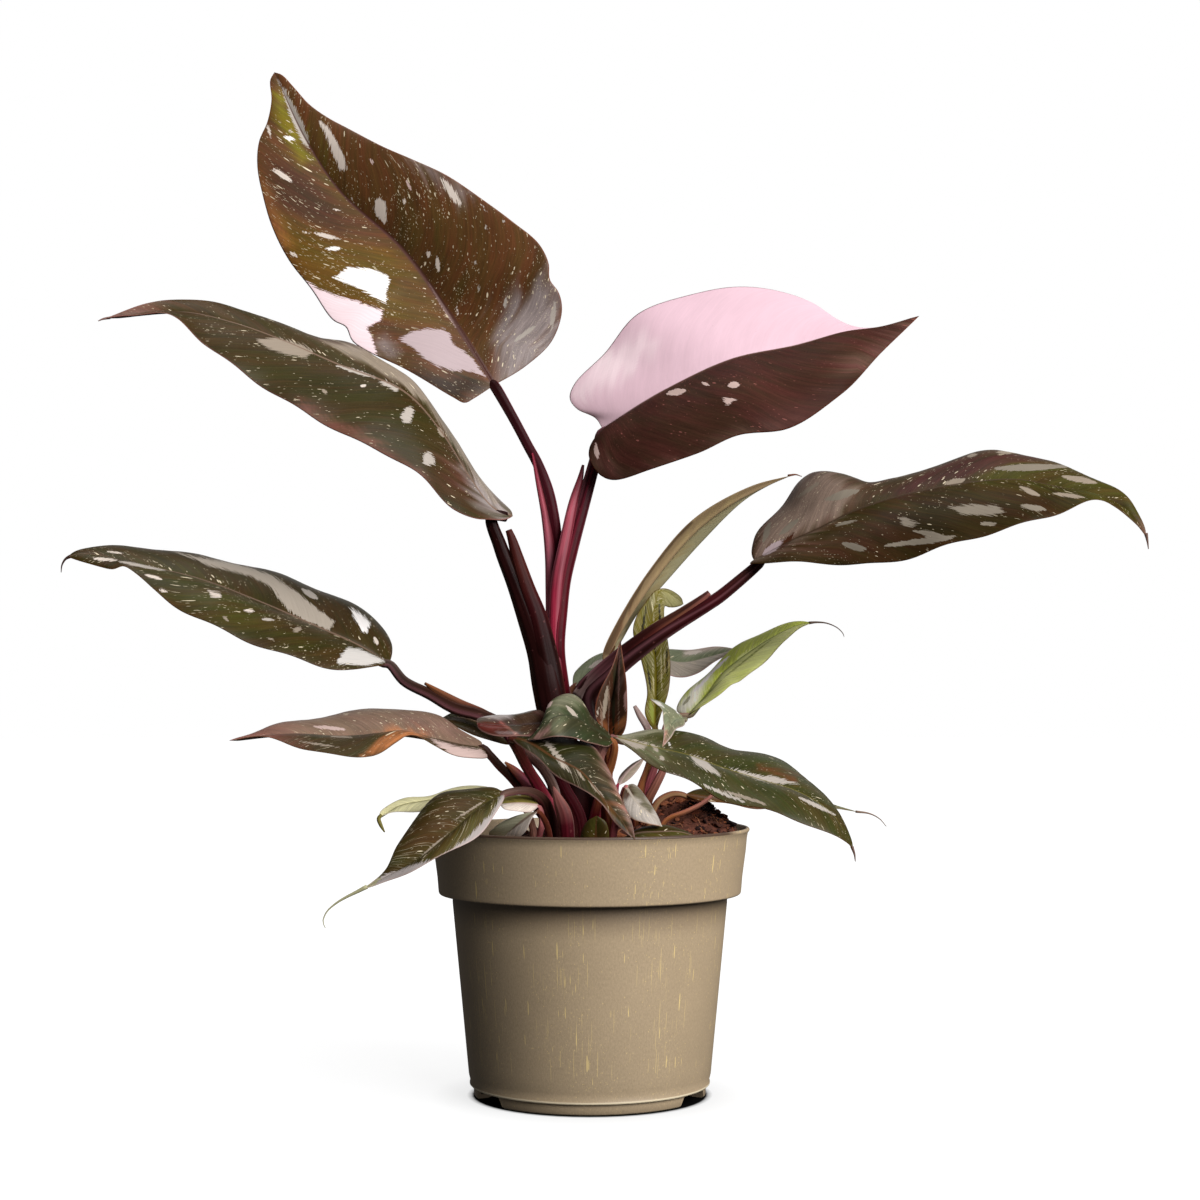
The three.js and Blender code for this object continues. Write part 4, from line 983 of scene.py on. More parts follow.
        "midrib": [[-32, -34, 114], [-47, -36, 113], [-57, -38, 111], [-68, -40, 109], [-75, -41, 105],
            [-74.6, -41.4, 105.6]],
        "left": [[-34, -40, 112], [-46, -43, 109], [-61, -43, 107.6], [-70, -42, 107],
            [-73.4, -42, 105.8]],
        "right": [[-37, -28, 115], [-49, -27, 115], [-58, -31, 112], [-66, -35, 111.4], [-72, -39, 109.4],
            [-74.8, -41, 107]],
        "drip": [[-74.2, -41.2, 106.2, 0.6], [-75.2, -41.4, 104.8, 0.75], [-74.4, -41.6, 102.4, 0.7],
            [-73, -42, 100, 0.25]],
    },
    {
        "name": "leafFrontHanging", "slot": "leaf_green", "rows": 110, "halfColumns": 24,
        "ground": ("darkMoss", "darkMoss"), "rib": "umber", "margin": "dustyRose", "speckles": 0.2,
        "hairs": 0.95, "castsShadow": False,
        "midrib": [[-28, -44, 134], [-21, -49, 132], [-13, -54, 127], [-3, -58, 122], [4, -61, 114],
            [10, -63, 107], [16, -64.4, 98.6]],
        "left": [[-26, -48, 132], [-19, -55, 127], [-13, -60, 122], [-4, -63, 117], [5, -65, 110],
            [9, -65, 105]],
        "right": [[-24, -38, 134], [-13, -34, 134], [-6, -34, 133], [0, -39, 131], [4, -46, 127],
            [8, -54, 121], [12, -60, 111], [15, -63, 104]],
        "zones": [
            ("dustyRose", 0.85, 3, [(592, 744), (604, 756), (614, 772), (622, 792), (630, 815), (635, 838),
                (629, 830), (618, 800), (609, 778), (600, 762)]),
            ("copper", 0.35, 8, [(606, 796), (622, 796), (634, 832), (620, 824)]),
            # painted highlight
            ("taupe", 0.35, 6, [(594, 756), (606, 770), (612, 786), (602, 780)]),
        ],
        "patches": [
            ("stone", [(543, 742), (548, 741), (556, 751), (563, 760), (570, 773), (562, 768),
                (552, 754)]),
        ],
        "splashes": [
            ("ash", 576, 769, 584, 781, 2.4), ("ash", 589, 782, 604, 798, 3.4),
        ],
    },
    {
        "name": "leafCurled", "slot": "leaf_dark", "rows": 70, "halfColumns": 18,
        "ground": ("ironBrown", "ironBrown"), "rib": "ironBrown", "margin": "dustyRose", "speckles": 0.1,
        "gloss": 0.25, "castsShadow": False, "arch": (0.25, 0.2),
        "midrib": [[-14, -33, 139], [-23, -40, 138], [-32, -46, 138], [-40, -48, 139]],
        "left": [[-18, -41, 134], [-26, -49, 134], [-34, -52, 135], [-39, -50, 137]],
        "right": [[-18, -28, 143], [-28, -33, 141.5], [-36, -40, 141], [-40, -46, 140]],
        "zones": [
            ("sheathBrown", 0.95, 2, [(474, 722), (486, 720), (500, 722), (512, 731), (520, 740),
                (500, 740), (480, 736)]),
            # painted highlight along the top
            ("steel", 0.85, 3, [(476, 720), (488, 711), (520, 707), (545, 705), (546, 711), (520, 715),
                (500, 720)]),
            ("rosewood", 0.7, 1, [(500, 721), (512, 729), (524, 739), (521, 740), (509, 731), (498, 723)]),
            ("chestnut", 0.9, 3, [(512, 714), (552, 705), (552, 722), (541, 734), (520, 733)]),
            ("rosyEdge", 0.7, 2, [(518, 738), (535, 733), (552, 722), (552, 732), (532, 742)]),
        ],
    },
    {
        "name": "leafArched", "slot": "leaf_green", "rows": 90, "halfColumns": 20,
        "ground": ("arched", "arched"), "rib": "arched", "margin": "dustyRose", "speckles": 1.1,
        "midrib": [[9, -32, 132], [1, -38, 137], [-6, -43, 141], [-12, -46, 141], [-16, -48, 138],
            [-22, -49, 133]],
        "left": [[6, -38, 130], [0, -47, 132], [-5, -51, 134], [-12, -54, 134], [-17, -52, 133]],
        "right": [[6, -31, 136], [0, -31, 142], [-4, -31, 148], [-8, -33, 149], [-14, -37, 146],
            [-16, -41, 142], [-18, -45, 137]],
        "zones": [
            ("mist", 0.35, 4, [(546, 702), (562, 690), (584, 692), (594, 708), (578, 706), (560, 703)]),
            ("mossGrey", 0.5, 5, [(544, 706), (560, 700), (568, 718), (562, 737), (548, 730)]),
            ("night", 0.9, 6, [(592, 712), (616, 728), (618, 744), (600, 746), (588, 736), (588, 720)]),
            ("dustyRose", 0.8, 2, [(530, 740), (545, 728), (552, 722), (550, 732), (540, 741)]),
        ],
        "splashes": [
            ("stone", 566, 706, 577, 718, 4), ("greyPink", 545, 709, 552, 702, 5),
        ],
    },
    {
        "name": "leafSpear", "slot": "leaf_dark", "rows": 80, "halfColumns": 18,
        "ground": ("spear", "spear"), "rib": "greyPink", "margin": "russet", "speckles": 0.1,
        "midrib": [[7, -24, 131], [7, -25, 142], [9, -25, 152], [11.4, -25, 169]],
        "left": [[4, -29, 136], [2.2, -31, 142], [4, -31, 150], [8, -28, 160]],
        "right": [[12, -29, 135], [14, -31, 143], [14, -31, 151], [12, -28, 161]],
        "zones": [
            ("copper", 0.8, 7, [(600, 722), (624, 720), (622, 738), (606, 740)]),
            ("slate", 0.7, 3, [(616, 650), (621, 640), (622, 665), (620, 692), (616, 690)]),
        ],
        "splashes": [
            ("ash", 607, 686, 603, 718, 4), ("dustyRose", 626, 690, 626, 716, 4),
            ("taupe", 609, 680, 608, 726, 1.6), ("dustyRose", 620, 645, 619, 700, 1.8),
            ("night", 614, 664, 614, 734, 3.2), ("taupe", 600, 700, 602, 728, 2),
            ("taupe", 619, 700, 619, 730, 1.6), ("rust", 610, 702, 609, 730, 1.4),
            ("stone", 598, 708, 595, 722, 1.6),
        ],
    },
    {
        "name": "leafStrap", "slot": "leaf_green", "rows": 110, "halfColumns": 16,
        "ground": ("strapBrown", "strapGreen"), "plain": (1, 1), "rib": "strapBrown",
        "margin": "strapBrown", "under": "khaki", "underShare": 0.1, "arch": (0.03, 0.03), "hairs": 0.0,
        "wave": 0.0, "speckles": 0, "dripColour": "clay",
        "midrib": [[5, 8, 160], [11, 12, 173], [24, 18, 193], [40, 26, 212], [55, 33, 224], [70, 40, 232],
            [80.4, 43, 236.4]],
        "left": [[5, 4, 165], [10, 7, 176], [23, 13, 197], [40, 22, 217], [63, 35, 231]],
        "right": [[10, 14, 166], [19, 22, 181], [28, 26, 191], [44, 34, 209], [60, 38, 225],
            [70, 42, 231.6]],
        "zones": [
            ("chestnut", 0.8, 1, [(594, 650), (602, 620), (622, 580), (646, 545), (680, 512), (693, 522),
                (672, 545), (658, 563), (644, 582), (633, 601), (621, 624), (608, 657)]),
            ("khaki", 0.7, 5, [(640, 600), (662, 564), (700, 520), (740, 492), (740, 500), (702, 530),
                (668, 574), (646, 612)]),
            ("cream", 0.7, 3, [(662, 596), (690, 566), (720, 532), (746, 502), (750, 506), (724, 540),
                (694, 574), (666, 604)]),
            ("clay", 0.5, 14, [(598, 662), (606, 640), (620, 618), (636, 606), (630, 636), (612, 652)]),
        ],
        "drip": [[79, 42.6, 236.2, 0.5], [82.3, 45, 236.8, 0.3], [84.8, 46.6, 236.2, 0.12]],
    },
    {
        "name": "leafGreenFold", "slot": "leaf_green", "rows": 100, "halfColumns": 16,
        "ground": ("foldGreen", "foldGreen"), "rib": "lime", "margin": "umber", "speckles": 0.6,
        "under": "foldPale", "underShare": 0.9, "arch": (0.03, 0.03), "hairs": 1.2, "wave": 0.0,
        "speckleColour": "butter",
        "midrib": [[25, 12.6, 134], [25, 12, 147], [25, 11.5, 162], [23, 11.5, 174], [25, 12.5, 183],
            [26.4, 14.5, 188.2], [29, 18, 188.8], [32.8, 20, 186.6], [36.2, 22, 184]],
        "left": [[21, 10.5, 141.4], [21.8, 10.5, 150], [19.5, 10.5, 162], [16.4, 10.5, 173],
            [17.8, 11, 179], [21, 12, 184], [25, 14, 188.8], [29, 17.5, 189.9], [32.8, 19.5, 188.5],
            [35.5, 21, 186.2]],
        "right": [[27.2, 10.5, 141.4], [30, 10.5, 150], [30.8, 10.5, 160], [30, 10.5, 168],
            [28.7, 11, 175.6], [28.4, 12.5, 180], [28.8, 15, 182.8], [30.4, 18, 182.6],
            [32.6, 19.5, 182.6], [35.1, 21, 183.3]],
        "zones": [
            ("foldPale", 0.8, 3, [(658, 586), (664, 610), (690, 612), (690, 590), (668, 584)]),
            ("lime", 0.7, 8, [(636, 610), (662, 596), (666, 640), (640, 650)]),
            ("umber", 0.4, 4, [(664, 640), (674, 650), (672, 700), (664, 690)]),
        ],
        "splashes": [
            ("darkMoss", 646, 606, 641, 640, 2.5), ("darkMoss", 659, 604, 661, 640, 2),
            ("butter", 652, 600, 654, 622, 1.4), ("darkMoss", 655, 645, 657, 700, 2.6),
            ("darkMoss", 647, 662, 651, 694, 1.8), ("butter", 661, 646, 662, 690, 1.2),
            ("butter", 652, 664, 655, 706, 1), ("darkMoss", 667, 644, 667, 676, 1.8),
            ("butter", 664, 650, 665, 672, 0.9), ("leafShade", 650, 702, 654, 724, 5),
        ],
    },
    {
        "name": "leafBackGrey", "slot": "leaf_green", "rows": 90, "halfColumns": 16,
        "ground": ("drift", "stone"), "rib": "drift", "margin": "rosyEdge", "speckles": 0.4,
        "midrib": [[-7, 26, 152], [4, 30, 159], [20, 35, 164.6], [36, 40, 161.6], [48, 43, 164],
            [58, 45, 167]],
        "left": [[-6, 32, 158], [5, 38, 165], [20, 43, 166], [39, 48, 167], [49, 48, 168]],
        "right": [[-2, 24, 152.6], [8, 28, 157], [19, 30, 162], [32, 31, 156.4], [42, 36, 157],
            [50, 41, 162]],
        "zones": [
            ("drift", 0.6, 5, [(576, 664), (604, 654), (600, 670), (576, 680)]),
            ("greyPink", 0.8, 3, [(682, 648), (730, 640), (732, 650), (684, 655)]),
        ],
        "splashes": [
            ("cream", 590, 668, 604, 660, 5), ("cream", 684, 654, 702, 652, 4),
        ],
    },
    {
        "name": "leafBrightGreen", "slot": "leaf_green", "rows": 110, "halfColumns": 20,
        "dripColour": "taupe", "ground": ("leafGreen", "springGreen"), "rib": "leafShade",
        "margin": "taupe", "speckles": 0.5, "under": "leafGreen", "arch": (0.05, 0.05), "hairs": 1.05,
        "shine": 0.2,
        "midrib": [[37, 0, 141], [44, 6, 148], [51, 12, 157], [60, 18, 164], [71, 24, 171],
            [80, 29, 175.4], [87.4, 33, 177.2]],
        "left": [[33, 8, 143], [37, 14, 149.6], [51, 24, 162.4], [60, 29, 169.6], [67, 32, 173.2],
            [76, 33, 176.4], [82, 34, 177.5]],
        "right": [[40, -6, 143], [48, -6, 149], [53, -3, 152.4], [57, 0, 153.6], [67, 10, 162],
            [76, 21, 169.6], [82, 28, 175]],
        "drip": [[86, 32.4, 177, 0.6], [89, 33.6, 177.3, 0.4], [93, 34.4, 177, 0.28],
            [97.4, 35.2, 175.2, 0.2], [99.8, 35.8, 172.8, 0.16], [100.2, 36, 171.6, 0.1]],
        "zones": [
            ("white", 0.8, 4, [(674, 714), (680, 700), (700, 680), (712, 676), (700, 700), (688, 716)]),
            ("leafGreen", 0.7, 5, [(694, 712), (716, 692), (750, 668), (740, 680), (706, 708)]),
        ],
        "patches": [
            ("springGreen", [(736, 672), (752, 663), (772, 648), (790, 637), (784, 643), (766, 658),
                (750, 670)]),
        ],
        "splashes": [
            ("white", 694, 692, 712, 674, 3), ("springGreen", 706, 692, 748, 650, 2.4),
            ("springGreen", 736, 660, 780, 634, 2.4), ("mist", 684, 705, 690, 697, 3),
            ("white", 704, 680, 730, 656, 3), ("leafShade", 690, 714, 722, 680, 1.6),
            ("leafShade", 722, 680, 776, 636, 1.4),
        ],
    },
    {
        "name": "leafSmallDrooping", "slot": "leaf_green", "rows": 60, "halfColumns": 12,
        "ground": ("drift", "mossGrey"), "rib": "drift", "margin": "greyPink", "speckles": 0.6,
        "under": "drift", "hairs": 1.0, "castsShadow": False,
        "midrib": [[35, -14, 140], [31, -24, 139], [28, -34, 135], [26, -41, 130]],
        "left": [[31, -10, 143], [25, -12, 146], [22, -18, 147], [26.8, -28, 143.6], [27.2, -32, 140],
            [27.1, -36, 136]],
        "right": [[35, -20, 138], [32, -28, 137], [29, -36, 133]],
        "zones": [
            ("rosyEdge", 0.8, 4, [(656, 730), (668, 728), (664, 752), (656, 750)]),
            ("mossGrey", 0.8, 4, [(664, 706), (682, 708), (678, 722), (666, 730)]),
        ],
        "splashes": [
            ("paleAsh", 652, 700, 664, 708, 3), ("white", 676, 712, 688, 716, 3),
        ],
    },
    {
        "name": "leafWhiteLow", "slot": "leaf_pale", "rows": 50, "halfColumns": 12,
        "ground": ("silver", "silver"), "rib": "stone", "margin": "copper", "speckles": 0.2,
        "midrib": [[13, -32, 116], [17, -38, 110], [22, -42, 106], [26, -44, 102]],
        "left": [[16, -27, 116], [20, -30, 112], [24, -37, 107]],
        "right": [[12, -38, 112], [15, -44, 105], [20, -46, 103]],
        "zones": [
            ("olive", 0.75, 3, [(628, 782), (642, 790), (654, 808), (650, 813), (638, 803), (626, 793)]),
            ("chestnut", 0.9, 3, [(614, 780), (628, 782), (634, 795), (626, 801), (616, 797)]),
        ],
    },
    {
        "name": "leafBehindRight", "slot": "leaf_dark", "rows": 80, "halfColumns": 12,
        "ground": ("oliveDark", "umber"), "rib": "umber", "margin": "umber", "speckles": 0.2,
        "dripColour": "taupe",
        "midrib": [[35, -14, 112], [49, -8, 110], [72, 4, 109], [92, 13, 106.2], [103, 16, 103.8]],
        "left": [[42, -6, 114], [61, 8, 114], [81, 15, 110.5], [92, 15.6, 107.3]],
        "right": [[41, -18, 110], [61, -10, 107], [80, 3, 106], [93, 12.6, 105.2]],
        "zones": [
            ("drift", 0.9, 6, [(828, 800), (866, 806), (866, 818), (828, 816)]),
        ],
        "drip": [[102, 15.6, 104, 0.5], [107.3, 17, 103.2, 0.3], [111.5, 19, 101.1, 0.2],
            [114.4, 21, 98, 0.12]],
    },
    {
        "name": "leafRimFront", "slot": "leaf_green", "rows": 50, "halfColumns": 12,
        "ground": ("deepOlive", "olive"), "rib": "taupe", "margin": "umber", "speckles": 0.4,
        "midrib": [[12, -40, 93], [16, -43, 99], [24, -44, 100], [32, -42, 100], [39, -40, 98]],
        "left": [[12, -36, 96], [17, -38, 101], [24, -37, 102], [33, -37, 100]],
        "right": [[15, -45, 94], [19, -48, 97], [27, -47, 97], [34, -43, 97]],
    },
    {
        "name": "leafDarkStub", "slot": "leaf_dark", "rows": 40, "halfColumns": 10,
        "ground": ("olive", "deepOlive"), "rib": "umber", "margin": "olive", "speckles": 0.3,
        "midrib": [[2, -47, 92], [2.4, -49, 100], [2.6, -50.5, 106.4]],
        "left": [[-3.4, -46, 97], [-1.4, -48, 103.6]],
        "right": [[6.6, -48, 97], [6, -50, 104]],
    },
    {
        "name": "leafWhiteLeft", "slot": "leaf_pale", "rows": 50, "halfColumns": 12,
        "ground": ("mist", "cream"), "rib": "taupe", "margin": "cream", "speckles": 0.2,
        "midrib": [[-18, -48, 108], [-25, -45, 103], [-32, -38, 97]],
        "left": [[-26, -42, 106], [-33, -38, 102], [-36, -34, 99]],
        "right": [[-20, -49, 105], [-22, -48, 101], [-26, -45, 98]],
    },
    {
        "name": "leafSmallLeft", "slot": "leaf_green", "rows": 50, "halfColumns": 12,
        "ground": ("cream", "lightOlive"), "rib": "greyPink", "margin": "greyPink", "speckles": 0.3,
        "midrib": [[-18, -36, 109], [-25, -41, 110], [-32, -44, 110]],
        "left": [[-21, -41, 107], [-25, -45, 107], [-30, -46, 108]],
        "right": [[-22, -32, 112], [-28, -36, 113], [-31, -41, 112]],
    },
    {
        "name": "leafSpeckledBack", "slot": "leaf_green", "rows": 60, "halfColumns": 14,
        "ground": ("oliveDark", "olive"), "rib": "taupe", "margin": "umber", "speckles": 0.8,
        "midrib": [[-28, 2, 130], [-38, 0, 136], [-47, -2, 140], [-56, -4, 140]],
        "left": [[-33, -4, 130], [-43, -6, 134], [-52, -6, 138]],
        "right": [[-34, 6, 140], [-45, 3, 143], [-52, 0, 142]],
    },
    {
        "name": "leafTinyGrey", "slot": "leaf_green", "rows": 40, "halfColumns": 10,
        "ground": ("slate", "ash"), "rib": "greyPink", "margin": "greyPink", "speckles": 0.1,
        "midrib": [[10, -12, 115], [14, -10, 120], [21, -8, 126]],
        "left": [[11.6, -9, 118.6], [16, -7, 123.4]],
        "right": [[13.4, -12, 117], [18.4, -10, 121.6]],
    },
]

for index, leaf in enumerate(leaves):
    buildLeaf(leaf, index)
print("leaves", len(leaves))


# Stalks


stalkLook = {
    # bands: partly the stalks' own stripes, partly painted highlights on the flanks and painted shade down
    # the front
    "bands": [(25, 26, "flush", 0.25), (120, 30, "nearBlack", 0.35), (168, 16, "mauveEdge", 0.35)],
    "sheathBands": [(20, 24, "flush", 0.3), (125, 26, "blood", 0.45)],
    "noises": {
        "grain": (0.03, 2.6, 0, 4.0, 0.6), "clouds": (0.08, 0.3, 2, 2.0, 0.5),
        "flecks": (0.5, 2.4, 4, 2.0, 0.5),
    },
    "sides": 40, "ringsPerMillimetre": 0.9, "roughness": 0.42, "shine": 0.08,
    "channel": 0.1, "sheathFlatness": 0.8,
    # where a stalk runs on under its leaf, from the far end: share of the stretch, share of
    # the stalk's radius
    "runOn": ((1.0, 0.2), (0.55, 0.55), (0.2, 0.85)), "runOnLength": 9.0,
}


def stalkFinish(name, seed):
    finish = Finish(name, Specular_IOR_Level=stalkLook["shine"])
    noise = finish.mapNoises("grain", stalkLook["noises"], seed)
    grain, flecks = noise["grain"], noise["flecks"]
    tone = (grain - 0.5) * 1.8 + (noise["clouds"] - 0.5) * 0.8 + 1.0
    colour = finish.tone(finish.attribute("ground", "Color"), tone)
    fleck = finish.ramp(flecks, 0.68, 0.76)
    colour = finish.mix(fleck * 0.12, colour, tuple(linear("rose")))
    finish.set("Base Color", colour)
    finish.set("Roughness", (grain - 0.5) * 0.2 + stalkLook["roughness"])
    finish.set("Normal", finish.bump(grain * 0.5 + flecks * 0.1, 0.0006, 0.5))
    return finish.material


def tubeParts(line, flatness, channel):
    # rings of points along a line of centres with radii, and how far along each ring is
    line = np.array(line, float)
    length = runAlong(line[:, :3])[-1]
    steps = max(10, int(length * stalkLook["ringsPerMillimetre"]))
    path = smoothCurve(line, steps)
    centres, radii = path[:, :3], np.maximum(path[:, 3], 0.05)
    along = unit(np.gradient(centres, axis=0))
    toView = np.array([0.1, -1.0, 0.15])
    side = unit(np.cross(along, toView))
    front = unit(np.cross(side, along))
    angle = turns(stalkLook["sides"])
    # the section is ribbed lengthwise, with a shallow channel on the side that faces up
    ribs = 0.02 * np.cos(5 * angle + 0.6) + 0.015 * np.cos(9 * angle)
    swell = 1 + ribs - channel * np.exp(-((angle - 1.2) / 0.35) ** 2)
    across = np.cos(angle) * swell
    deep = np.sin(angle) * swell * flatness
    spokes = across[None, :, None] * side[:, None] + deep[None, :, None] * front[:, None]
    rings = centres[:, None] + radii[:, None, None] * spokes
    return rings, centres, angle, np.linspace(0, length, steps + 1)


def banded(colour, angle, bands):
    # partly the stalk's own stripes and edges, partly painted highlights on the flanks and painted shade
    # down the front
    # lengthwise bands of colour: 0 degrees is the left flank, 90 the front, 180 the right flank
    for middle, half, name, strength in bands:
        off = abs((angle - math.radians(middle) + math.pi) % (2 * math.pi) - math.pi)
        weight = strength * min(1.0, max(0.0, 1.3 - off / math.radians(half)))
        colour = colour + (linear(name) - colour) * weight
    return colour


def buildStalk(stalk, seed):
    points, faces, tints, grain = [], [], [], []
    name, line = stalk["name"], stalk["line"]
    rib = undersides.get(name.replace("stalk", "leaf"))
    if rib is not None:
        # the stalk runs on as the midrib under its leaf
        run = runAlong(rib)
        reach = min(stalkLook["runOnLength"], 0.12 * run[-1])
        start = []
        for share, radius in stalkLook["runOn"]:
            spot = [float(np.interp(share * reach, run, rib[:, k])) for k in range(3)]
            start.append(spot + [radius * line[0][3]])
        line = start + line

    def addTube(tubeLine, colours, bands, flatness=1.0, channel=0.0, mapShift=0.0):
        rings, centres, angle, run = tubeParts(tubeLine, flatness, channel)
        count, sides = rings.shape[:2]
        first = len(points)
        stops = np.linspace(0, 1, len(colours))
        table = np.array([linear(colour) for colour in colours])
        for i in range(count):
            colour = np.array([np.interp(i / (count - 1), stops, table[:, k]) for k in range(4)])
            for k in range(sides):
                points.append(rings[i, k])
                tints.append(banded(colour, angle[k], bands))
                grain.append((run[i], angle[k] + mapShift))
        faces.extend(ringFaces(first, count, sides))
        for i, turn in ((0, -1), (count - 1, 1)):
            middle = len(points)
            points.append(centres[i])
            tints.append(tints[first + i * sides])
            grain.append((run[i], 0))
            for k in range(sides):
                a = first + i * sides + k
                b = first + i * sides + (k + 1) % sides
                faces.append([middle, b, a][::turn])

    bands = stalk.get("bands", stalkLook["bands"])
    addTube(line, stalk["colours"], bands, channel=stalkLook["channel"])
    if "sheath" in stalk:
        colours = stalk.get("sheathColours", ("cherry", "crimson"))
        bands = stalk.get("sheathBands", stalkLook["sheathBands"])
        addTube(stalk["sheath"], colours, bands, stalkLook["sheathFlatness"], mapShift=2 * math.pi)
    piece = makeMesh(name, np.array(points), faces)
    paint(piece, "ground", np.array(tints))
    unwrap(piece, "grain", np.array(grain))
    place(piece, stalkFinish(name + "Finish", seed), "stalk", nodeOf(name))
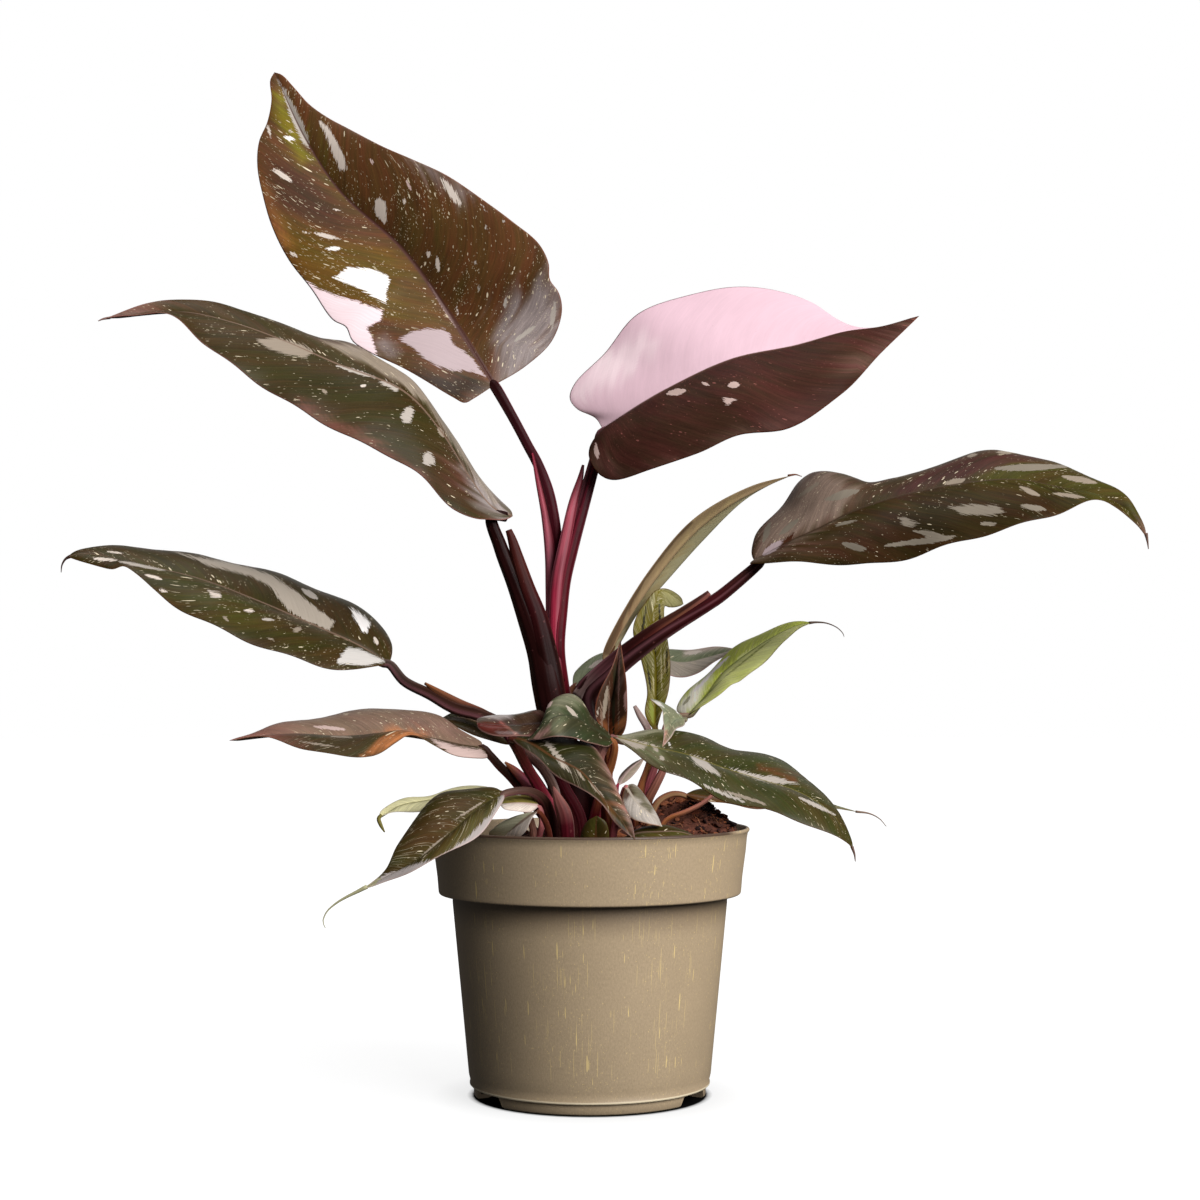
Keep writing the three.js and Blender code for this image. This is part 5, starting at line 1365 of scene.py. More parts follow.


# Lines are x, y and z of the centre and the radius, in millimetres, from the leaf down. Bands
# are the middle and half width in degrees, the colour and its strength.
# the bands hold the stalks' own stripes together with painted highlights and painted shade
stalks = [
    {
        "name": "stalkTop", "colours": ("nearBlack", "wine", "blood", "wine"),
        "sheathColours": ("cherry", "flush", "rosePink", "rosePink", "rosePink"),
        "line": [[-37, 12, 268, 2.0], [-29.5, 10, 255, 1.9], [-23.7, 8, 244, 1.9], [-20, 6, 237, 2.0],
            [-16.2, 4, 227, 2.2], [-14.2, 3.2, 218, 2.3], [-13, 3.4, 208, 2.4], [-13, 3.6, 192, 2.6],
            [-13, 2, 173, 3.0], [-13, 2, 151, 3.4], [-12, 1, 118, 3.6]],
        "bands": [(20, 22, "mauveEdge", 0.45), (172, 16, "mauveEdge", 0.6), (150, 12, "rosePink", 0.25)],
        "sheath": [[-22, 5, 241, 0.4], [-19.8, 4, 231, 1.1], [-16.7, 2.6, 216, 1.7], [-14.9, 2, 202, 2.2],
            [-14.2, 1.4, 188, 2.6], [-13.8, 1, 172, 2.8], [-13.4, 1, 155, 2.8]],
        "sheathBands": [(84, 7, "mauveEdge", 0.5), (125, 34, "blood", 0.9)],
    },
    {
        "name": "stalkPink", "colours": ("wine", "wine", "blood", "blood", "oxblood"),
        "line": [[4.5, 5.5, 248.5, 2.0], [3, 5, 242, 2.2], [-1, 3, 227, 2.5], [-4, 1, 216, 2.7],
            [-7.2, -1, 204, 2.9], [-10, -3, 192, 3.0], [-11.4, -5, 180, 3.1], [-12.2, -7, 166, 3.0],
            [-11, -5, 152, 3.4], [-6, -3, 118, 3.6]],
        "bands": [(30, 24, "mauveEdge", 0.5), (84, 10, "cherry", 0.35), (166, 18, "mauveEdge", 0.75)],
        "sheath": [[-2.6, 1, 236, 0.5], [-3.6, 0.6, 231, 1.1], [-6.2, -0.2, 222, 1.7],
            [-9, -2.4, 208, 2.2], [-11.9, -4.6, 192, 2.6], [-12.8, -6.4, 178, 2.6], [-12.6, -8, 166, 2.3],
            [-11, -8, 154, 1.8]],
        "sheathColours": ("oxblood", "flush", "flush", "cherry", "cherry", "oxblood"),
        "sheathBands": [(12, 18, "rosePink", 0.7), (104, 16, "mauveEdge", 0.5), (138, 22, "blood", 0.8)],
    },
    {
        "name": "stalkHighLeft",
        "colours": ("nearBlack", "nearBlack", "nearBlack", "nearBlack", "oxblood"),
        "line": [[-36.3, -17, 215, 2.1], [-33, -17, 203.5, 2.6], [-27.4, -17, 189.5, 3.2],
            [-22.2, -17, 176, 4.2], [-18, -17, 164, 5], [-15.5, -18, 152, 5.6], [-12.4, -16, 136, 5.4],
            [-8.5, -13, 118, 4.4]],
        "bands": [(12, 16, "chestnut", 0.8)],
        "sheath": [[-30, -18.5, 209.8, 1.2], [-28.6, -18.5, 206, 1.7], [-26.6, -18.5, 199, 2.4],
            [-23.2, -18.5, 188.5, 3.0], [-19.2, -18.5, 177, 3.8], [-16.2, -18.5, 164, 4.5],
            [-13.6, -18.5, 150, 4.8], [-12, -17, 136, 4.6]],
        "sheathColours": ("sheathBrown", "sheathBrown", "oxblood", "nearBlack", "nearBlack", "nearBlack"),
        "sheathBands": [(8, 14, "copper", 0.35), (90, 50, "nearBlack", 0.5),
            (168, 18, "sheathBrown", 0.8)],
    },
    {
        "name": "stalkHighRight",
        "colours": ("chestnut", "oxblood", "nearBlack", "nearBlack", "nearBlack"),
        "line": [[63.4, -18.4, 198, 1.7], [61.8, -18, 196.5, 1.9], [57.3, -18, 192.6, 2.1],
            [48, -18, 185, 2.3], [42.9, -18, 181.7, 2.4], [25, -17, 171, 3.4], [6, -14, 156.5, 4.6],
            [-1.5, -14, 148, 4.8], [1, -15, 134, 4.8], [2, -15, 118, 4.4]],
        "bands": [(165, 22, "mauveEdge", 0.5), (96, 12, "mauveEdge", 0.3), (20, 16, "mauveEdge", 0.35)],
        "sheath": [[44.2, -18.5, 186.6, 1.0], [41, -18.5, 184, 1.4], [34, -18.5, 179.2, 1.8],
            [24, -18, 172.4, 2.6], [12, -16, 163, 3.4], [2, -15, 153.6, 4.0], [-3, -15, 147, 4.2]],
        "sheathColours": ("rosewood", "clay", "sheathBrown", "oxblood", "mauveEdge", "greyPink"),
        "sheathBands": [(160, 26, "clay", 0.6), (60, 46, "nearBlack", 0.8)],
    },
    {
        "name": "stalkMidLeft", "colours": ("slate", "chestnut", "chestnut", "cherry", "rosePink"),
        "sheathColours": ("copper", "clay", "sheathBrown", "wine"),
        "line": [[-76, 2, 160.4, 1.7], [-70, -1, 154, 1.9], [-60, -4, 149, 2.1], [-50.5, -7, 144, 2.4],
            [-41, -9.5, 141.4, 2.4], [-33.5, -11, 138, 2.2], [-28.4, -13, 131.6, 2.0],
            [-25.2, -14, 126, 2.0], [-21.8, -15, 120, 2.0], [-18.6, -16, 115, 2.2], [-15, -15, 108, 2.4],
            [-14, -14, 98, 2.6], [-14, -14, 88, 2.6]],
        "bands": [(60, 24, "mauveEdge", 0.55), (110, 22, "nearBlack", 0.4)],
        "sheath": [[-62, -4, 153.2, 0.5], [-57, -5.4, 150, 1.3], [-48, -7.4, 145.2, 1.8],
            [-40, -9.6, 141.8, 1.9], [-33, -11.4, 137.6, 1.8], [-28.8, -13.4, 132, 1.6]],
        "sheathBands": [(165, 20, "copper", 0.7), (70, 30, "chestnut", 0.5)],
    },
    {
        "name": "stalkLowLeft", "colours": ("chestnut", "chestnut", "wine", "crimson"),
        "line": [[-39, -28, 129.6, 1.5], [-36, -27.5, 126.7, 1.5], [-32.7, -27, 123, 1.6],
            [-29, -26.5, 119.4, 1.7], [-25.3, -26, 115.4, 1.9], [-21.7, -25.5, 111.5, 2.1],
            [-17.7, -25, 106.8, 2.4], [-13.7, -23, 101, 2.8], [-12, -21, 88, 3]],
        "sheath": [[-30.8, -27.5, 124.4, 0.4], [-27.9, -28, 122, 1.3], [-24.6, -28, 118.9, 1.8],
            [-21, -28, 114.9, 2.2], [-17, -27.5, 110.2, 2.5], [-13, -26.5, 105, 2.8], [-10, -25, 99.6, 3],
            [-9, -24, 88, 3]],
        "sheathColours": ("rust", "rosePink", "rosePink", "flush", "flush", "cherry"),
        "sheathBands": [(10, 30, "crimson", 0.6), (150, 30, "cherry", 0.7)],
    },
    {
        "name": "stalkOverRim", "colours": ("dusk", "chestnut", "wine"),
        "line": [[-30, -48, 114, 1.3], [-22, -42, 114.6, 1.5], [-16, -33, 110, 2], [-13, -30, 100, 2.1],
            [-12, -29, 88, 2]],
    },
    {
        "name": "stalkPaleLeft", "colours": ("khaki", "rose"),
        "line": [[-31.3, -33.6, 113.4, 1.0], [-25, -30, 110, 1.2], [-21, -27, 102, 1.3],
            [-19.5, -26, 88, 1.3]],
    },
    {
        "name": "stalkFrontHanging", "colours": ("maroon", "sheathBrown", "crimson", "flush", "crimson"),
        "line": [[-27.4, -42, 133, 1.7], [-25.5, -40.5, 129, 1.8], [-23.4, -38, 124.7, 1.9],
            [-21.4, -36, 121, 1.9], [-18.6, -33, 116.2, 2], [-15.7, -30, 111.4, 2], [-12, -27, 105, 2.1],
            [-10.6, -25, 97, 2.1], [-10, -24, 88, 2]],
        "bands": [(20, 30, "wine", 0.5), (100, 26, "sheathBrown", 0.5), (160, 16, "rosewood", 0.5)],
    },
    {
        "name": "stalkArched", "colours": ("copper", "copper", "blood", "blood"),
        "line": [[9, -31.6, 130.8, 1.4], [8, -28, 124, 1.6], [4, -25, 113, 1.7], [1, -22, 100, 1.8],
            [1, -21.5, 88, 1.8]],
    },
    {
        "name": "stalkCurled", "colours": ("wine", "oxblood"),
        "line": [[-14, -32.7, 137.8, 1.3], [-14, -33, 128, 1.5], [-9, -30, 116, 1.7], [-3, -27, 104, 1.8],
            [-2, -26, 88, 1.8]],
    },
    {
        "name": "stalkLowRight", "colours": ("slate", "rosyEdge", "copper", "crimson"),
        "line": [[8, -28, 133, 1.6], [5, -29, 129.5, 1.8], [3.4, -28.5, 125, 1.9], [4.5, -26, 118, 2],
            [7, -24, 110, 2], [8, -23, 100, 2], [8, -23, 88, 2]],
    },
    {
        "name": "stalkSpear", "colours": ("copper", "russet", "blood"),
        "line": [[7, -23.5, 129.8, 1.4], [7, -22, 121, 1.6], [6, -19, 110, 1.7], [6, -18, 100, 1.8],
            [6, -18, 88, 1.8]],
    },
    {
        "name": "stalkStrap", "colours": ("umber", "crimson"),
        "line": [[5, 8, 158.8, 1.6], [4, 6, 150.5, 1.8], [3, 4, 135.5, 1.9], [3, 1, 117, 2],
            [3, 2, 98, 2.1], [3, 2, 88, 2.1]],
    },
    {
        "name": "stalkGreenFold", "colours": ("lightOlive", "copper", "russet"),
        "sheathColours": ("greyPink", "greyPink", "rosyEdge"),
        "line": [[25, 13.4, 133, 1.4], [24.4, 10, 128, 1.6], [22.4, 6, 121, 1.7], [19.4, 1, 113, 1.9],
            [18, -3, 107, 1.9], [18, -4, 98, 1.8], [18, -4, 88, 1.7]],
        "sheath": [[17, 10.5, 144.6, 0.7], [19, 10.5, 141, 1.2], [21.8, 10.5, 136.4, 1.4],
            [23.6, 10, 130, 1.2]],
    },
    {
        "name": "stalkBackGrey", "colours": ("umber", "crimson"),
        "line": [[-7.2, 25.6, 150.8, 1.3], [-8, 19, 144, 1.4], [-9, 12, 130, 1.6], [-8, 9, 115, 1.7],
            [-7, 8, 103, 1.8], [-7, 8, 88, 1.8]],
    },
    {
        "name": "stalkBrightGreen", "colours": ("drift", "rosyEdge", "flush", "flush"),
        "line": [[37, 0, 141, 1.1], [33, 1, 140.6, 1.1], [29.5, 1, 138.5, 1.2], [27.6, 1, 132, 1.3],
            [24.8, 1, 122.3, 1.4], [22.8, 1, 116.6, 1.5], [21.2, 0, 110.2, 1.6], [20.4, -1, 104, 1.6],
            [20, -3, 88, 1.6]],
    },
    {
        "name": "stalkSmallDrooping", "colours": ("drift", "rosyEdge", "clay", "clay"),
        "line": [[35.6, -12.8, 139.6, 1.0], [32, -11, 139, 1.0], [29.5, -9, 136, 1.1],
            [28.5, -7, 130, 1.2], [27.6, -6, 121.6, 1.5], [24.6, -6, 115, 1.7], [21.8, -6, 109.4, 1.8],
            [20.6, -6, 102, 1.7], [19.6, -6, 88, 1.5]],
    },
    {
        "name": "stalkWhiteLow", "colours": ("rose", "crimson"),
        "line": [[12.8, -31.2, 114.8, 1.1], [11, -30, 108, 1.3], [9, -29, 100, 1.3], [8, -28.5, 88, 1.3]],
    },
    {
        "name": "stalkBehindRight", "colours": ("clay", "clay"),
        "bands": [(100, 40, "khaki", 0.3)],
        "line": [[34, -14.2, 112, 1.1], [30, -14.5, 112, 1.2], [25, -15, 109, 1.3], [22, -15, 101, 1.4],
            [21, -15, 88, 1.4]],
    },
    {
        "name": "stalkBent", "colours": ("rosyEdge", "copper", "clay"),
        "line": [[46, -22, 113, 0.6], [41, -22, 109, 0.8], [35, -22, 106, 0.9], [28, -22, 103, 0.9],
            [25, -22, 97, 1.0], [25, -22, 88, 1.0]],
    },
    {
        "name": "stalkSmallLeft", "colours": ("rose", "crimson"),
        "line": [[-17.6, -35.6, 107.8, 0.9], [-17, -36.5, 103, 1.1], [-18, -35, 98, 1.1],
            [-18.5, -34, 88, 1.1]],
    },
    {
        "name": "stalkWhiteLeft", "colours": ("russet", "wine"),
        "line": [[-17.4, -46.8, 107, 0.9], [-15, -42, 102, 1.1], [-14, -39, 96, 1.1], [-14, -38, 88, 1.1]],
    },
    {
        "name": "stalkSpeckledBack", "colours": ("rosyEdge", "dusk", "chestnut"),
        "line": [[-28, 2, 130, 1.2], [-22.6, -8, 126, 1.5], [-17, -15, 121, 1.7], [-13.4, -18.5, 115, 1.9],
            [-12, -20, 108, 2], [-11.6, -21, 98, 2], [-11.6, -21, 88, 1.8]],
        "bands": [(150, 30, "greyPink", 0.5)],
    },
    {
        "name": "stalkTinyGrey", "colours": ("cherry", "crimson"),
        "line": [[10, -12, 113.8, 0.8], [9.5, -11.5, 104, 1], [9.5, -11, 88, 1]],
    },
    {
        "name": "bud", "colours": ("rosyEdge", "wine", "blood"),
        "bands": [(168, 16, "dustyRose", 0.8), (15, 16, "dustyRose", 0.5), (90, 50, "blood", 0.5)],
        "line": [[-13, -38, 116, 0.3], [-11, -37.5, 111, 2], [-9, -37.5, 106, 2.8], [-8, -37, 98, 2.8],
            [-8, -36, 88, 2.2]],
    },
    {
        "name": "mainStem", "colours": ("nearBlack", "nearBlack", "oxblood", "earth"),
        "line": [[-6, -8, 129, 5], [-6, -8, 126, 8.4], [-6, -9, 118, 9.3], [-6, -9, 104, 9.6],
            [-6, -9, 88, 9]],
    },
]

for index, stalk in enumerate(stalks):
    buildStalk(stalk, index * 2.3)
print("stalks", len(stalks))


# Pot


pot = {
    "rimRadius": 60, "rimTop": 99.3, "collarTopRadius": 58.8, "collarBottomRadius": 56.7,
    "collarBottom": 75, "bodyTopRadius": 51.5, "seamRadius": 44.9, "seamHeight": 4.2,
    "footRadius": 43.3, "wall": 1.4, "floor": 1.8, "sides": 192, "bodyRings": 14,
    "notchWidth": 22, "notchHeight": 3.6, "notchSlope": 3, "notchFrom": 35, "notchTo": 50,
    "notchAngles": (63, 180, 300),
    "noises": {
        "blotch": (0.02, 0.02, 2, 4.0, 0.6), "grain": (1.6, 0.9, 5, 4.0, 0.7),
        "crowding": (0.06, 0.012, 9, 1.0, 0.5),
    },
    # layers of cream streaks: cells per millimetre round and up, share of cells, width, seed, strength
    "streaks": [
        (1.5, 0.026, 0.9, 0.09, 1.0, 0.9), (1.9, 0.04, 1.2, 0.09, 4.0, 0.5),
        (2.4, 0.06, 1.6, 0.12, 7.0, 0.4), (1.5, 0.1, 0.7, 0.13, 13.0, 0.85),
        (1.8, 0.16, 0.8, 0.13, 17.0, 0.6), (2.4, 0.25, 1.1, 0.12, 19.0, 0.4),
        (2.0, 1.5, 0.8, 0.14, 11.0, 0.45), (3.2, 2.4, 1.1, 0.12, 23.0, 0.3),
    ],
    # heights between which the looks change, among them painted shade towards the foot, under the collar
    # and along the front of the lip, and a painted highlight along the seam
    "footShade": (0, 60), "collarFade": (78, 70), "streakStart": (9, 20), "seamLine": (0.55, 0.2),
    "collarShade": (61, 74.6), "collarShadeEnd": (74.7, 75.2), "paintedLipShade": (98.1, 98.5),
    "paintedLipShadeWidth": (58, 48),   # to each side of the front, where the painted shade on the lip ends
    "mapRadius": 50,         # turns an angle round the wall into millimetres on its map
    "insideShift": 300,      # puts the inside of the wall elsewhere on the map
}


def potFinish():
    finish = Finish("potPlastic", Specular_IOR_Level=0.45)
    noise = finish.mapNoises("wall", pot["noises"])
    blotch, grain = noise["blotch"], noise["grain"]
    spot = finish.add("ShaderNodeTexCoord", output="Object")
    height = finish.add("ShaderNodeSeparateXYZ", None, {0: spot}, output=2) / toMetres
    around = finish.add("ShaderNodeSeparateXYZ", None, {0: finish.stretched("wall", 1.0, 1.0)})

    # painted shade: the wall grows darker towards the foot
    footPaintedShade = finish.ramp(height, *pot["footShade"], 0.88, 1.0)
    tone = (blotch - 0.5) * 0.3 + (grain - 0.5) * 0.6 + footPaintedShade
    colour = finish.tone(tuple(linear("pot")), tone)
    crowd = finish.ramp(noise["crowding"], 0.4, 0.62) * 0.85 + 0.15
    below = finish.ramp(height, *pot["collarFade"], 0.1, 1.0)
    collar = 1 - below
    wall = below * finish.ramp(height, *pot["streakStart"])
    for across, up, chance, width, seed, strength in pot["streaks"]:
        # round flecks lie everywhere, short streaks on the collar and long ones on the wall
        where = 1 if up > 1 else collar if up > 0.1 else wall
        colour = finish.specks(colour, crowd * where * chance, "potStreak", across, up, width,
                               seed, strength, "wall")
    # a pale line along the seam: a painted highlight on its ridge
    seam = finish.ramp(finish.size(height - (pot["seamHeight"] + 0.2)), *pot["seamLine"])
    colour = finish.mix(seam * 0.95, colour, tuple(linear("paintedSeamHighlight")))
    # painted shade: the wall darkens up to the underside of the collar
    shade = finish.ramp(height, *pot["collarShade"])
    shade = shade * (1 - finish.ramp(height, *pot["collarShadeEnd"]))
    colour = finish.mix(shade * 0.7, colour, tuple(linear("peat")))
    # painted shade: the top of the lip is darkened along the front
    front = finish.ramp(finish.size(around), *pot["paintedLipShadeWidth"])
    lipPaintedShade = finish.ramp(height, *pot["paintedLipShade"]) * front
    colour = finish.mix(lipPaintedShade * 0.9, colour, tuple(linear("chestnut")))
    finish.set("Base Color", colour)
    finish.set("Roughness", (grain - 0.5) * 0.2 + 0.44)
    finish.set("Normal", finish.bump(grain * 0.4 + blotch * 0.6, 0.0006, 0.25))
    return finish.material


def potProfile():
    # radius and height, from the middle of the underside out, up and back in to the floor
    inner, rim, top = pot["wall"], pot["rimRadius"], pot["rimTop"]
    foot, seam, body = pot["footRadius"], pot["seamRadius"], pot["bodyTopRadius"]
    collar, collarTop = pot["collarBottomRadius"], pot["collarTopRadius"]
    seamZ, stepZ = pot["seamHeight"], pot["collarBottom"]
    outline = [
        (0, 0.8), (30, 0.8), (36, 0.8), (39, 0), (foot - 0.6, 0), (foot, 0.5),
        (foot + 0.1, seamZ - 0.6), (seam - 0.4, seamZ - 0.3), (seam, seamZ + 0.1),
        (seam, seamZ + 0.6), (seam - 0.3, seamZ + 1.1),
    ]
    low, high = np.array([seam + 0.1, seamZ + 1.2]), np.array([body, stepZ - 3.6])
    outline += [tuple(low + (high - low) * share) for share in np.linspace(0.04, 1, pot["bodyRings"])]
    outline += [
        (body, stepZ - 1.3), (body + 0.2, stepZ - 0.9), (body + 0.7, stepZ - 0.6),
        (collar - 0.9, stepZ - 0.4), (collar - 0.4, stepZ - 0.3), (collar - 0.1, stepZ),
        (collar, stepZ + 0.4), (collar + 0.1, stepZ + 1.2), (collar + 0.5, stepZ + 6),
        (collarTop - 0.2, top - 8), (collarTop + 0.15, top - 4), (collarTop + 0.5, top - 2),
        (rim - 0.25, top - 1.3), (rim, top - 0.9), (rim - 0.1, top - 0.4), (rim - 0.4, top - 0.1),
        (rim - 0.8, top), (rim - 1.2, top - 0.1), (rim - 1.5, top - 0.5),
        (collarTop - inner - 0.1, top - 5), (collar - inner, stepZ + 4),
        (body - inner, stepZ - 1.5), (seam - inner, seamZ + 1), (foot - inner, pot["floor"]),
        (0, pot["floor"]),
    ]
    return outline


def cutNotch(piece, angle):
    # a drain notch with sloping sides
    half, lift, slope = pot["notchWidth"] / 2, pot["notchHeight"], pot["notchSlope"]
    section = [(-half, -1), (half, -1), (half - slope, lift), (slope - half, lift)]
    cutter = [(x, -y, z) for y in (pot["notchFrom"], pot["notchTo"]) for x, z in section]
    boxFaces = [[3, 2, 1, 0], [4, 5, 6, 7], [1, 5, 4, 0], [2, 6, 5, 1], [3, 7, 6, 2], [0, 4, 7, 3]]
    tool = makeMesh("notchTool", np.array(cutter), boxFaces, smooth=False)
    tool.matrix_world = Matrix.Rotation(math.radians(angle), 4, "Z")
    cut = piece.modifiers.new("notch", "BOOLEAN")
    cut.operation = "DIFFERENCE"
    cut.solver = "EXACT"
    cut.object = tool
    bpy.context.view_layer.update()
    ready = piece.evaluated_get(bpy.context.evaluated_depsgraph_get())
    done = bpy.data.meshes.new_from_object(ready)
    piece.modifiers.clear()
    piece.data = done
    bpy.data.objects.remove(tool)


def mapWall(mesh):
    # a flat coordinate round the wall and up it, in millimetres
    layer = mesh.uv_layers.new(name="wall")
    for polygon in mesh.polygons:
        spots = [mesh.vertices[vertex].co for vertex in polygon.vertices]
        angles = [math.atan2(spot.x, -spot.y) for spot in spots]
        if max(angles) - min(angles) > math.pi:
            angles = [a + 2 * math.pi if a < 0 else a for a in angles]
        for loop, spot, angle in zip(polygon.loop_indices, spots, angles):
            outside = polygon.normal.dot(Vector((spot.x, spot.y, 0))) >= 0
            shift = 0 if outside else pot["insideShift"]
            layer.data[loop].uv = (angle * pot["mapRadius"], spot.z / toMetres + shift)


def buildPot():
    sides = pot["sides"]
    points, faces, rings = [], [], []
    for radius, height in potProfile():
        count = sides if radius else 1
        rings.append([len(points) + k % count for k in range(sides)])
        for turn in turns(sides)[:count]:
            points.append((radius * math.sin(turn), -radius * math.cos(turn), height))
    for a, b in zip(rings, rings[1:]):
        for k in range(sides):
            n = (k + 1) % sides
            quad = [a[k], a[n], b[n], b[k]]
            faces.append([v for i, v in enumerate(quad) if v != quad[i - 1]])
    piece = makeMesh("pot", np.array(points), faces)
    for angle in pot["notchAngles"]:
        cutNotch(piece, angle)
    mesh = piece.data
    mapWall(mesh)
    mesh.polygons.foreach_set("use_smooth", [True] * len(mesh.polygons))
    mesh.set_sharp_from_angle(angle=math.radians(50))
    place(piece, potFinish(), "pot", "pot")


buildPot()
print("pot")


# Potting mix


mix = {
    "edgeHeight": 91, "crown": 6, "heap": (38, 6), "heapHeight": 16, "heapSpread": 20,
    "radius": 55.4, "rings": 60, "sides": 150, "waves": 26, "waveHeight": 0.42, "grit": 0.22,
    # radius and height of the side and the underside, which the pot hides
    "skirt": ((54.6, 80), (49.4, 73), (43, 8), (40, 2.4)),
    "chips": 1500, "chipReach": 54.0, "chipLimit": 56.2, "chipPull": 56,
    "heapChips": (0.1, 0.45, 24, 54),   # direction and its spread, nearest and farthest radius
    "crumb": (0.6, 1.5), "chip": (1.5, 3.4),
    "kinds": ("earth", "earth", "bark", "earth", "bark", "russet", "nearBlack"),
    "fibres": 140, "fibreReach": 50, "fibreLimit": 54.5, "fibreSteps": 6, "fibreStep": 1.6,
    "fibreRadius": 0.16, "fibreEnd": 0.35, "fibreLean": (0.1, 0.2, 1.0), "seed": 11,
    "fullTurn": 6.28,
}


def mixHeight(x, y):
    fromMiddle = np.hypot(x, y) / pot["bodyTopRadius"]
    fromHeap = np.hypot(x - mix["heap"][0], y - mix["heap"][1]) / mix["heapSpread"]
    crown = mix["crown"] * np.maximum(0, 1 - fromMiddle ** 2)
    return float(mix["edgeHeight"] + crown + mix["heapHeight"] * np.exp(-fromHeap ** 2))


def placeMix(name, finishName, parts, *nodes, smooth=True):
    points, faces, tints = parts
    piece = makeMesh(name, np.array(points), faces, smooth)
    paint(piece, "ground", np.array(tints))
    finish = Finish(finishName, Specular_IOR_Level=0.3)
    spot = finish.add("ShaderNodeTexCoord", output="Object")
    crumbs = finish.noise(spot, 900.0, 5.0, 0.7)
    patches = finish.noise(spot, 180.0, 3.0, 0.6)
    tone = (crumbs - 0.5) * 1.4 + (patches - 0.5) + 1.0
    finish.set("Base Color", finish.tone(finish.attribute("ground", "Color"), tone))
    finish.set("Roughness", (crumbs - 0.5) * 0.3 + 0.86)
    finish.set("Normal", finish.bump(crumbs, 0.001, 0.8))
    place(piece, finish.material, "soil", *nodes)


def mixBed(random):
    rings, sides = mix["rings"], mix["sides"]
    points = [(0, 0, mixHeight(0.0, 0.0))]
    tints = [linear("earth")]
    fullTurn = mix["fullTurn"]
    waves = [(random.uniform(0.15, 0.9), random.uniform(0, fullTurn), random.uniform(0, fullTurn))
             for _ in range(mix["waves"])]
    for i in range(1, rings + 1):
        height = mix["waveHeight"] * (1 - (i / rings) ** 8)
        for x, y, _ in circle(mix["radius"] * i / rings, 0, sides):
            rough = sum(math.sin(f * (x * math.cos(d) + y * math.sin(d)) + p) / (1 + 2 * f)
                        for f, d, p in waves)
            z = mixHeight(x, y) + height * rough + random.normal(0, mix["grit"])
            points.append((x, y, z))
            tints.append(linear("earth", random.uniform(0.6, 1.3)))
    for radius, z in mix["skirt"]:
        points += circle(radius, z, sides)
        tints += [linear("earth")] * sides
    faces = fan(sides) + ringFaces(1, rings + len(mix["skirt"]), sides)
    faces.append([len(points) - 1 - k for k in range(sides)])
    return points, faces, tints


def scatter(random, reach):
    # an even spread over a disc
    return random.uniform(0, 2 * math.pi), reach * math.sqrt(random.uniform(0, 1))


def looseBark(random):
    # crumbs and chips
    shaper = bmesh.new()
    bmesh.ops.create_icosphere(shaper, subdivisions=1, radius=1.0)
    shaper.verts.index_update()
    ball = np.array([corner.co for corner in shaper.verts])
    ballFaces = [[corner.index for corner in face.verts] for face in shaper.faces]
    shaper.free()
    points, faces, tints = [], [], []
    for n in range(mix["chips"]):
        angle, radius = scatter(random, mix["chipReach"])
        if n % 3 == 0:
            heading, spread, nearest, farthest = mix["heapChips"]
            angle, radius = random.normal(heading, spread), random.uniform(nearest, farthest)
        x, y = radius * math.cos(angle), radius * math.sin(angle)
        size = random.uniform(*mix["crumb" if n % 4 else "chip"])
        shape = np.array([size, size * random.uniform(0.35, 0.8), size * random.uniform(0.2, 0.5)])
        chip = ball * shape * random.uniform(0.72, 1.2, (len(ball), 1))
        turn = Matrix.Rotation(random.uniform(0, mix["fullTurn"]), 3, "Z")
        for axis in ("X", "Y"):
            turn = turn @ Matrix.Rotation(random.normal(0, 0.5), 3, axis)
        chip = chip @ np.array(turn).T
        room = mix["chipLimit"] - np.hypot(x, y) - size
        if room < 0:
            inward = 1 + room / mix["chipPull"]
            x, y = x * inward, y * inward
        z = mixHeight(x, y) + random.uniform(0.0, 0.8) * shape[2] + 0.1
        start = len(points)
        points.extend(chip + np.array([x, y, z]))
        faces.extend([[start + k for k in face] for face in ballFaces])
        kind = mix["kinds"][int(random.integers(len(mix["kinds"])))]
        tints.extend([linear(kind, random.uniform(0.6, 1.25))] * len(ball))
    return points, faces, tints


def coirFibres(random):
    points, faces, tints = [], [], []
    limit, step = mix["fibreLimit"], mix["fibreStep"]
    for _ in range(mix["fibres"]):
        angle, radius = scatter(random, mix["fibreReach"])
        x, y = radius * math.cos(angle), radius * math.sin(angle)
        heading = random.uniform(0, 2 * math.pi)
        line = []
        for _ in range(mix["fibreSteps"]):
            x = x + step * math.cos(heading)
            y = y + step * math.sin(heading)
            share = limit / max(np.hypot(x, y), limit)
            x, y = x * share, y * share
            heading += random.normal(0, 0.5)
            z = mixHeight(x, y) + 0.5 + abs(random.normal(0, 0.6))
            line.append([x, y, z, mix["fibreRadius"]])
        path = smoothCurve(line, 8)
        path[[0, -1], 3] *= mix["fibreEnd"]
        fibre, fibreFaces = hair(path, mix["fibreLean"], 4, len(points))
        points.extend(fibre)
        faces.extend(fibreFaces)
        tints.extend([linear("fibre", random.uniform(0.6, 1.2))] * len(fibre))
    return points, faces, tints


random = np.random.default_rng(mix["seed"])
placeMix("pottingMix", "mixBed", mixBed(random), "soil")
placeMix("barkChips", "barkFinish", looseBark(random), smooth=False)
placeMix("coirFibres", "coirFinish", coirFibres(random))
print("potting mix")


# Floor, light and camera

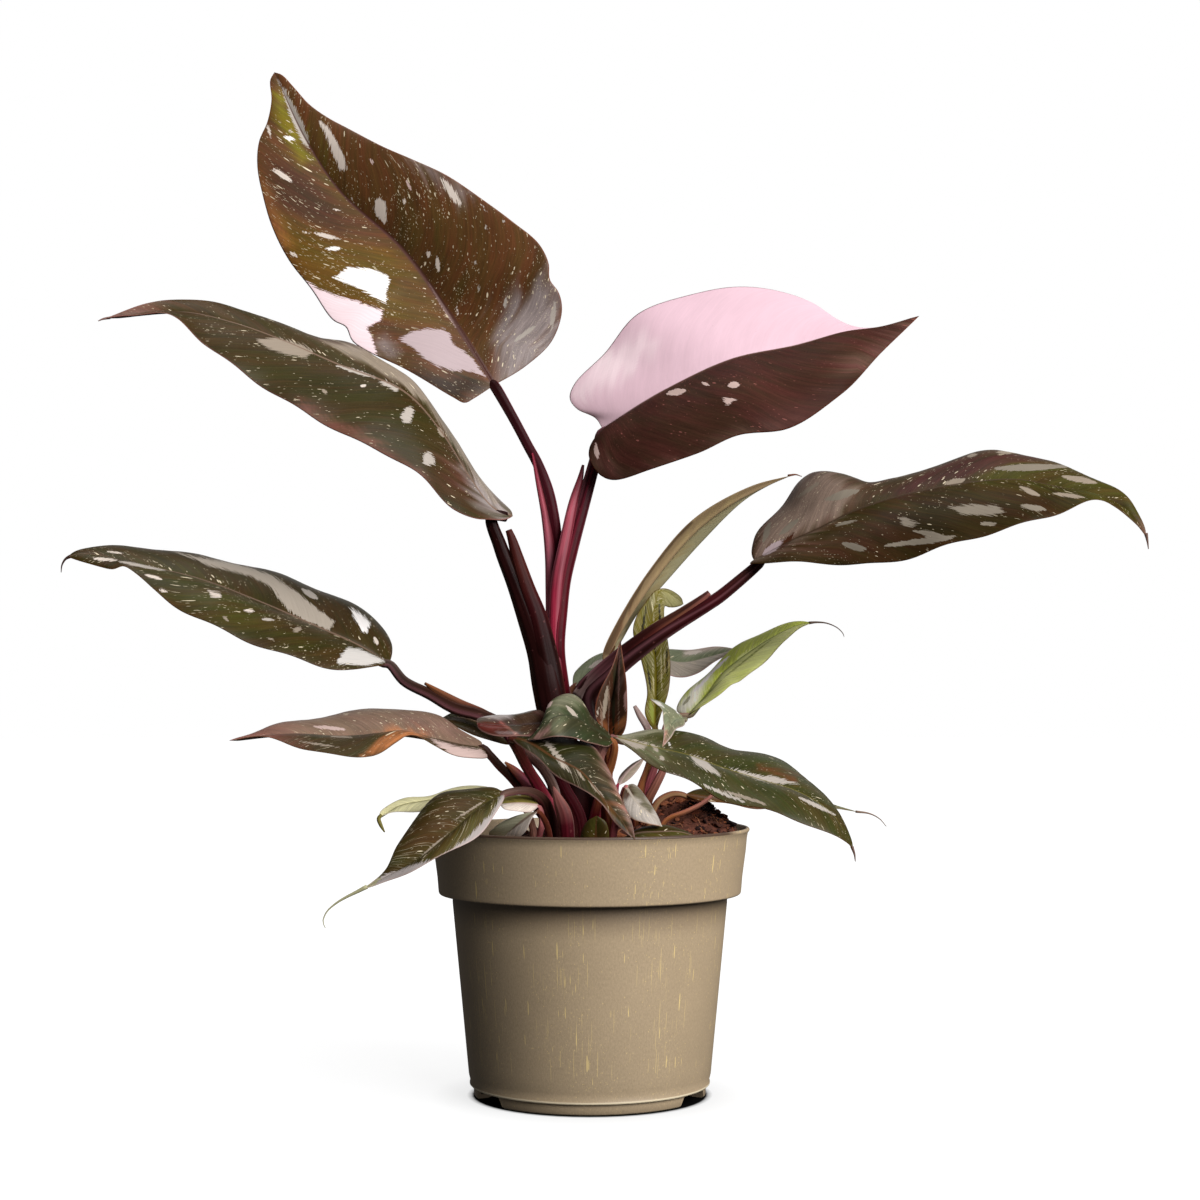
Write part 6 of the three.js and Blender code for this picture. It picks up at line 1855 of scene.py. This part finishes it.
studio = {
    "key": ((1.3, -1.45, 1.2), (0, 0, 0.2), 1.7, 1.5, 73),
    "top": ((-0.1, 0.1, 1.5), (0, 0, 0.2), 1.0, 1.0, 7),
    "back": ((0.2, 1.7, 0.9), (0, 0, 0.2), 1.6, 0.8, 2),
    "worldLight": 0.06,
    "floorDrop": -0.3,  # just under the pot
    "floorSides": 48,
    # each ring's radius, and how much it glows; it is dark under the pot, and the glow falls away round
    # its foot as a painted contact shadow
    "floorRings": ((43.4, 0), (44.4, 0.5), (46, 0.86), (60, 0.96), (150, 1), (700, 1.1), (6000, 1.1)),
}


def buildFloor():
    # a pale disc that fades into the white background, seen by the camera only, so that
    # it throws no light back at the plant; round the foot of the pot its glow falls away as a painted
    # shadow
    sides, drop = studio["floorSides"], studio["floorDrop"]
    points, glow = [(0, 0, drop)], [0]
    for radius, brightness in studio["floorRings"]:
        points += circle(radius, drop, sides)
        glow += [brightness] * sides
    faces = fan(sides) + ringFaces(1, len(studio["floorRings"]), sides)
    floor = makeMesh("floor", np.array(points), faces)
    paint(floor, "glow", np.array([linear("floor", share)[:3].tolist() + [1.0] for share in glow]))
    finish = Finish("paleFloor", Roughness=0.9, Specular_IOR_Level=0.1, Emission_Strength=1.0)
    finish.set("Base Color", finish.tone(finish.attribute("glow", "Color"), 0.2))
    finish.set("Emission Color", finish.attribute("glow", "Color"))
    floor.data.materials.append(finish.material)
    floor.visible_diffuse = False
    floor.visible_glossy = False


def softbox(name, spot, target, width, height, watts):
    lamp = bpy.data.lights.new(name, "AREA")
    lamp.shape = "RECTANGLE"
    lamp.size = width
    lamp.size_y = height
    lamp.energy = watts
    holder = bpy.data.objects.new(name, lamp)
    holder.location = spot
    away = Vector(spot) - Vector(target)
    holder.rotation_euler = away.to_track_quat("Z", "Y").to_euler()
    bpy.context.scene.collection.objects.link(holder)


buildFloor()
for name in ("key", "top", "back"):
    softbox(name, *studio[name])

world = bpy.data.worlds.new("studio")
bpy.context.scene.world = world
world.use_nodes = True
worldTree = world.node_tree
background = worldTree.nodes["Background"]
seen = worldTree.nodes.new("ShaderNodeLightPath")
bright = worldTree.nodes.new("ShaderNodeMapRange")
bright.inputs[3].default_value = studio["worldLight"]
bright.inputs[4].default_value = 1.0
worldTree.links.new(seen.outputs["Is Camera Ray"], bright.inputs[0])
worldTree.links.new(bright.outputs[0], background.inputs["Strength"])
background.inputs["Color"].default_value = (1, 1, 1, 1)
bpy.context.scene.view_settings.view_transform = "Standard"

lens = bpy.data.cameras.new("camera")
lens.sensor_width = view["sensor"]
lens.lens = view["focalPixels"] / view["framePixels"] * view["sensor"]
lens.clip_start = 0.01
camera = bpy.data.objects.new("camera", lens)
camera.location = Vector(view["eye"]) * toMetres
camera.rotation_euler = (math.radians(90 + view["tiltUp"]), 0, 0)
bpy.context.scene.collection.objects.link(camera)
bpy.context.scene.camera = camera
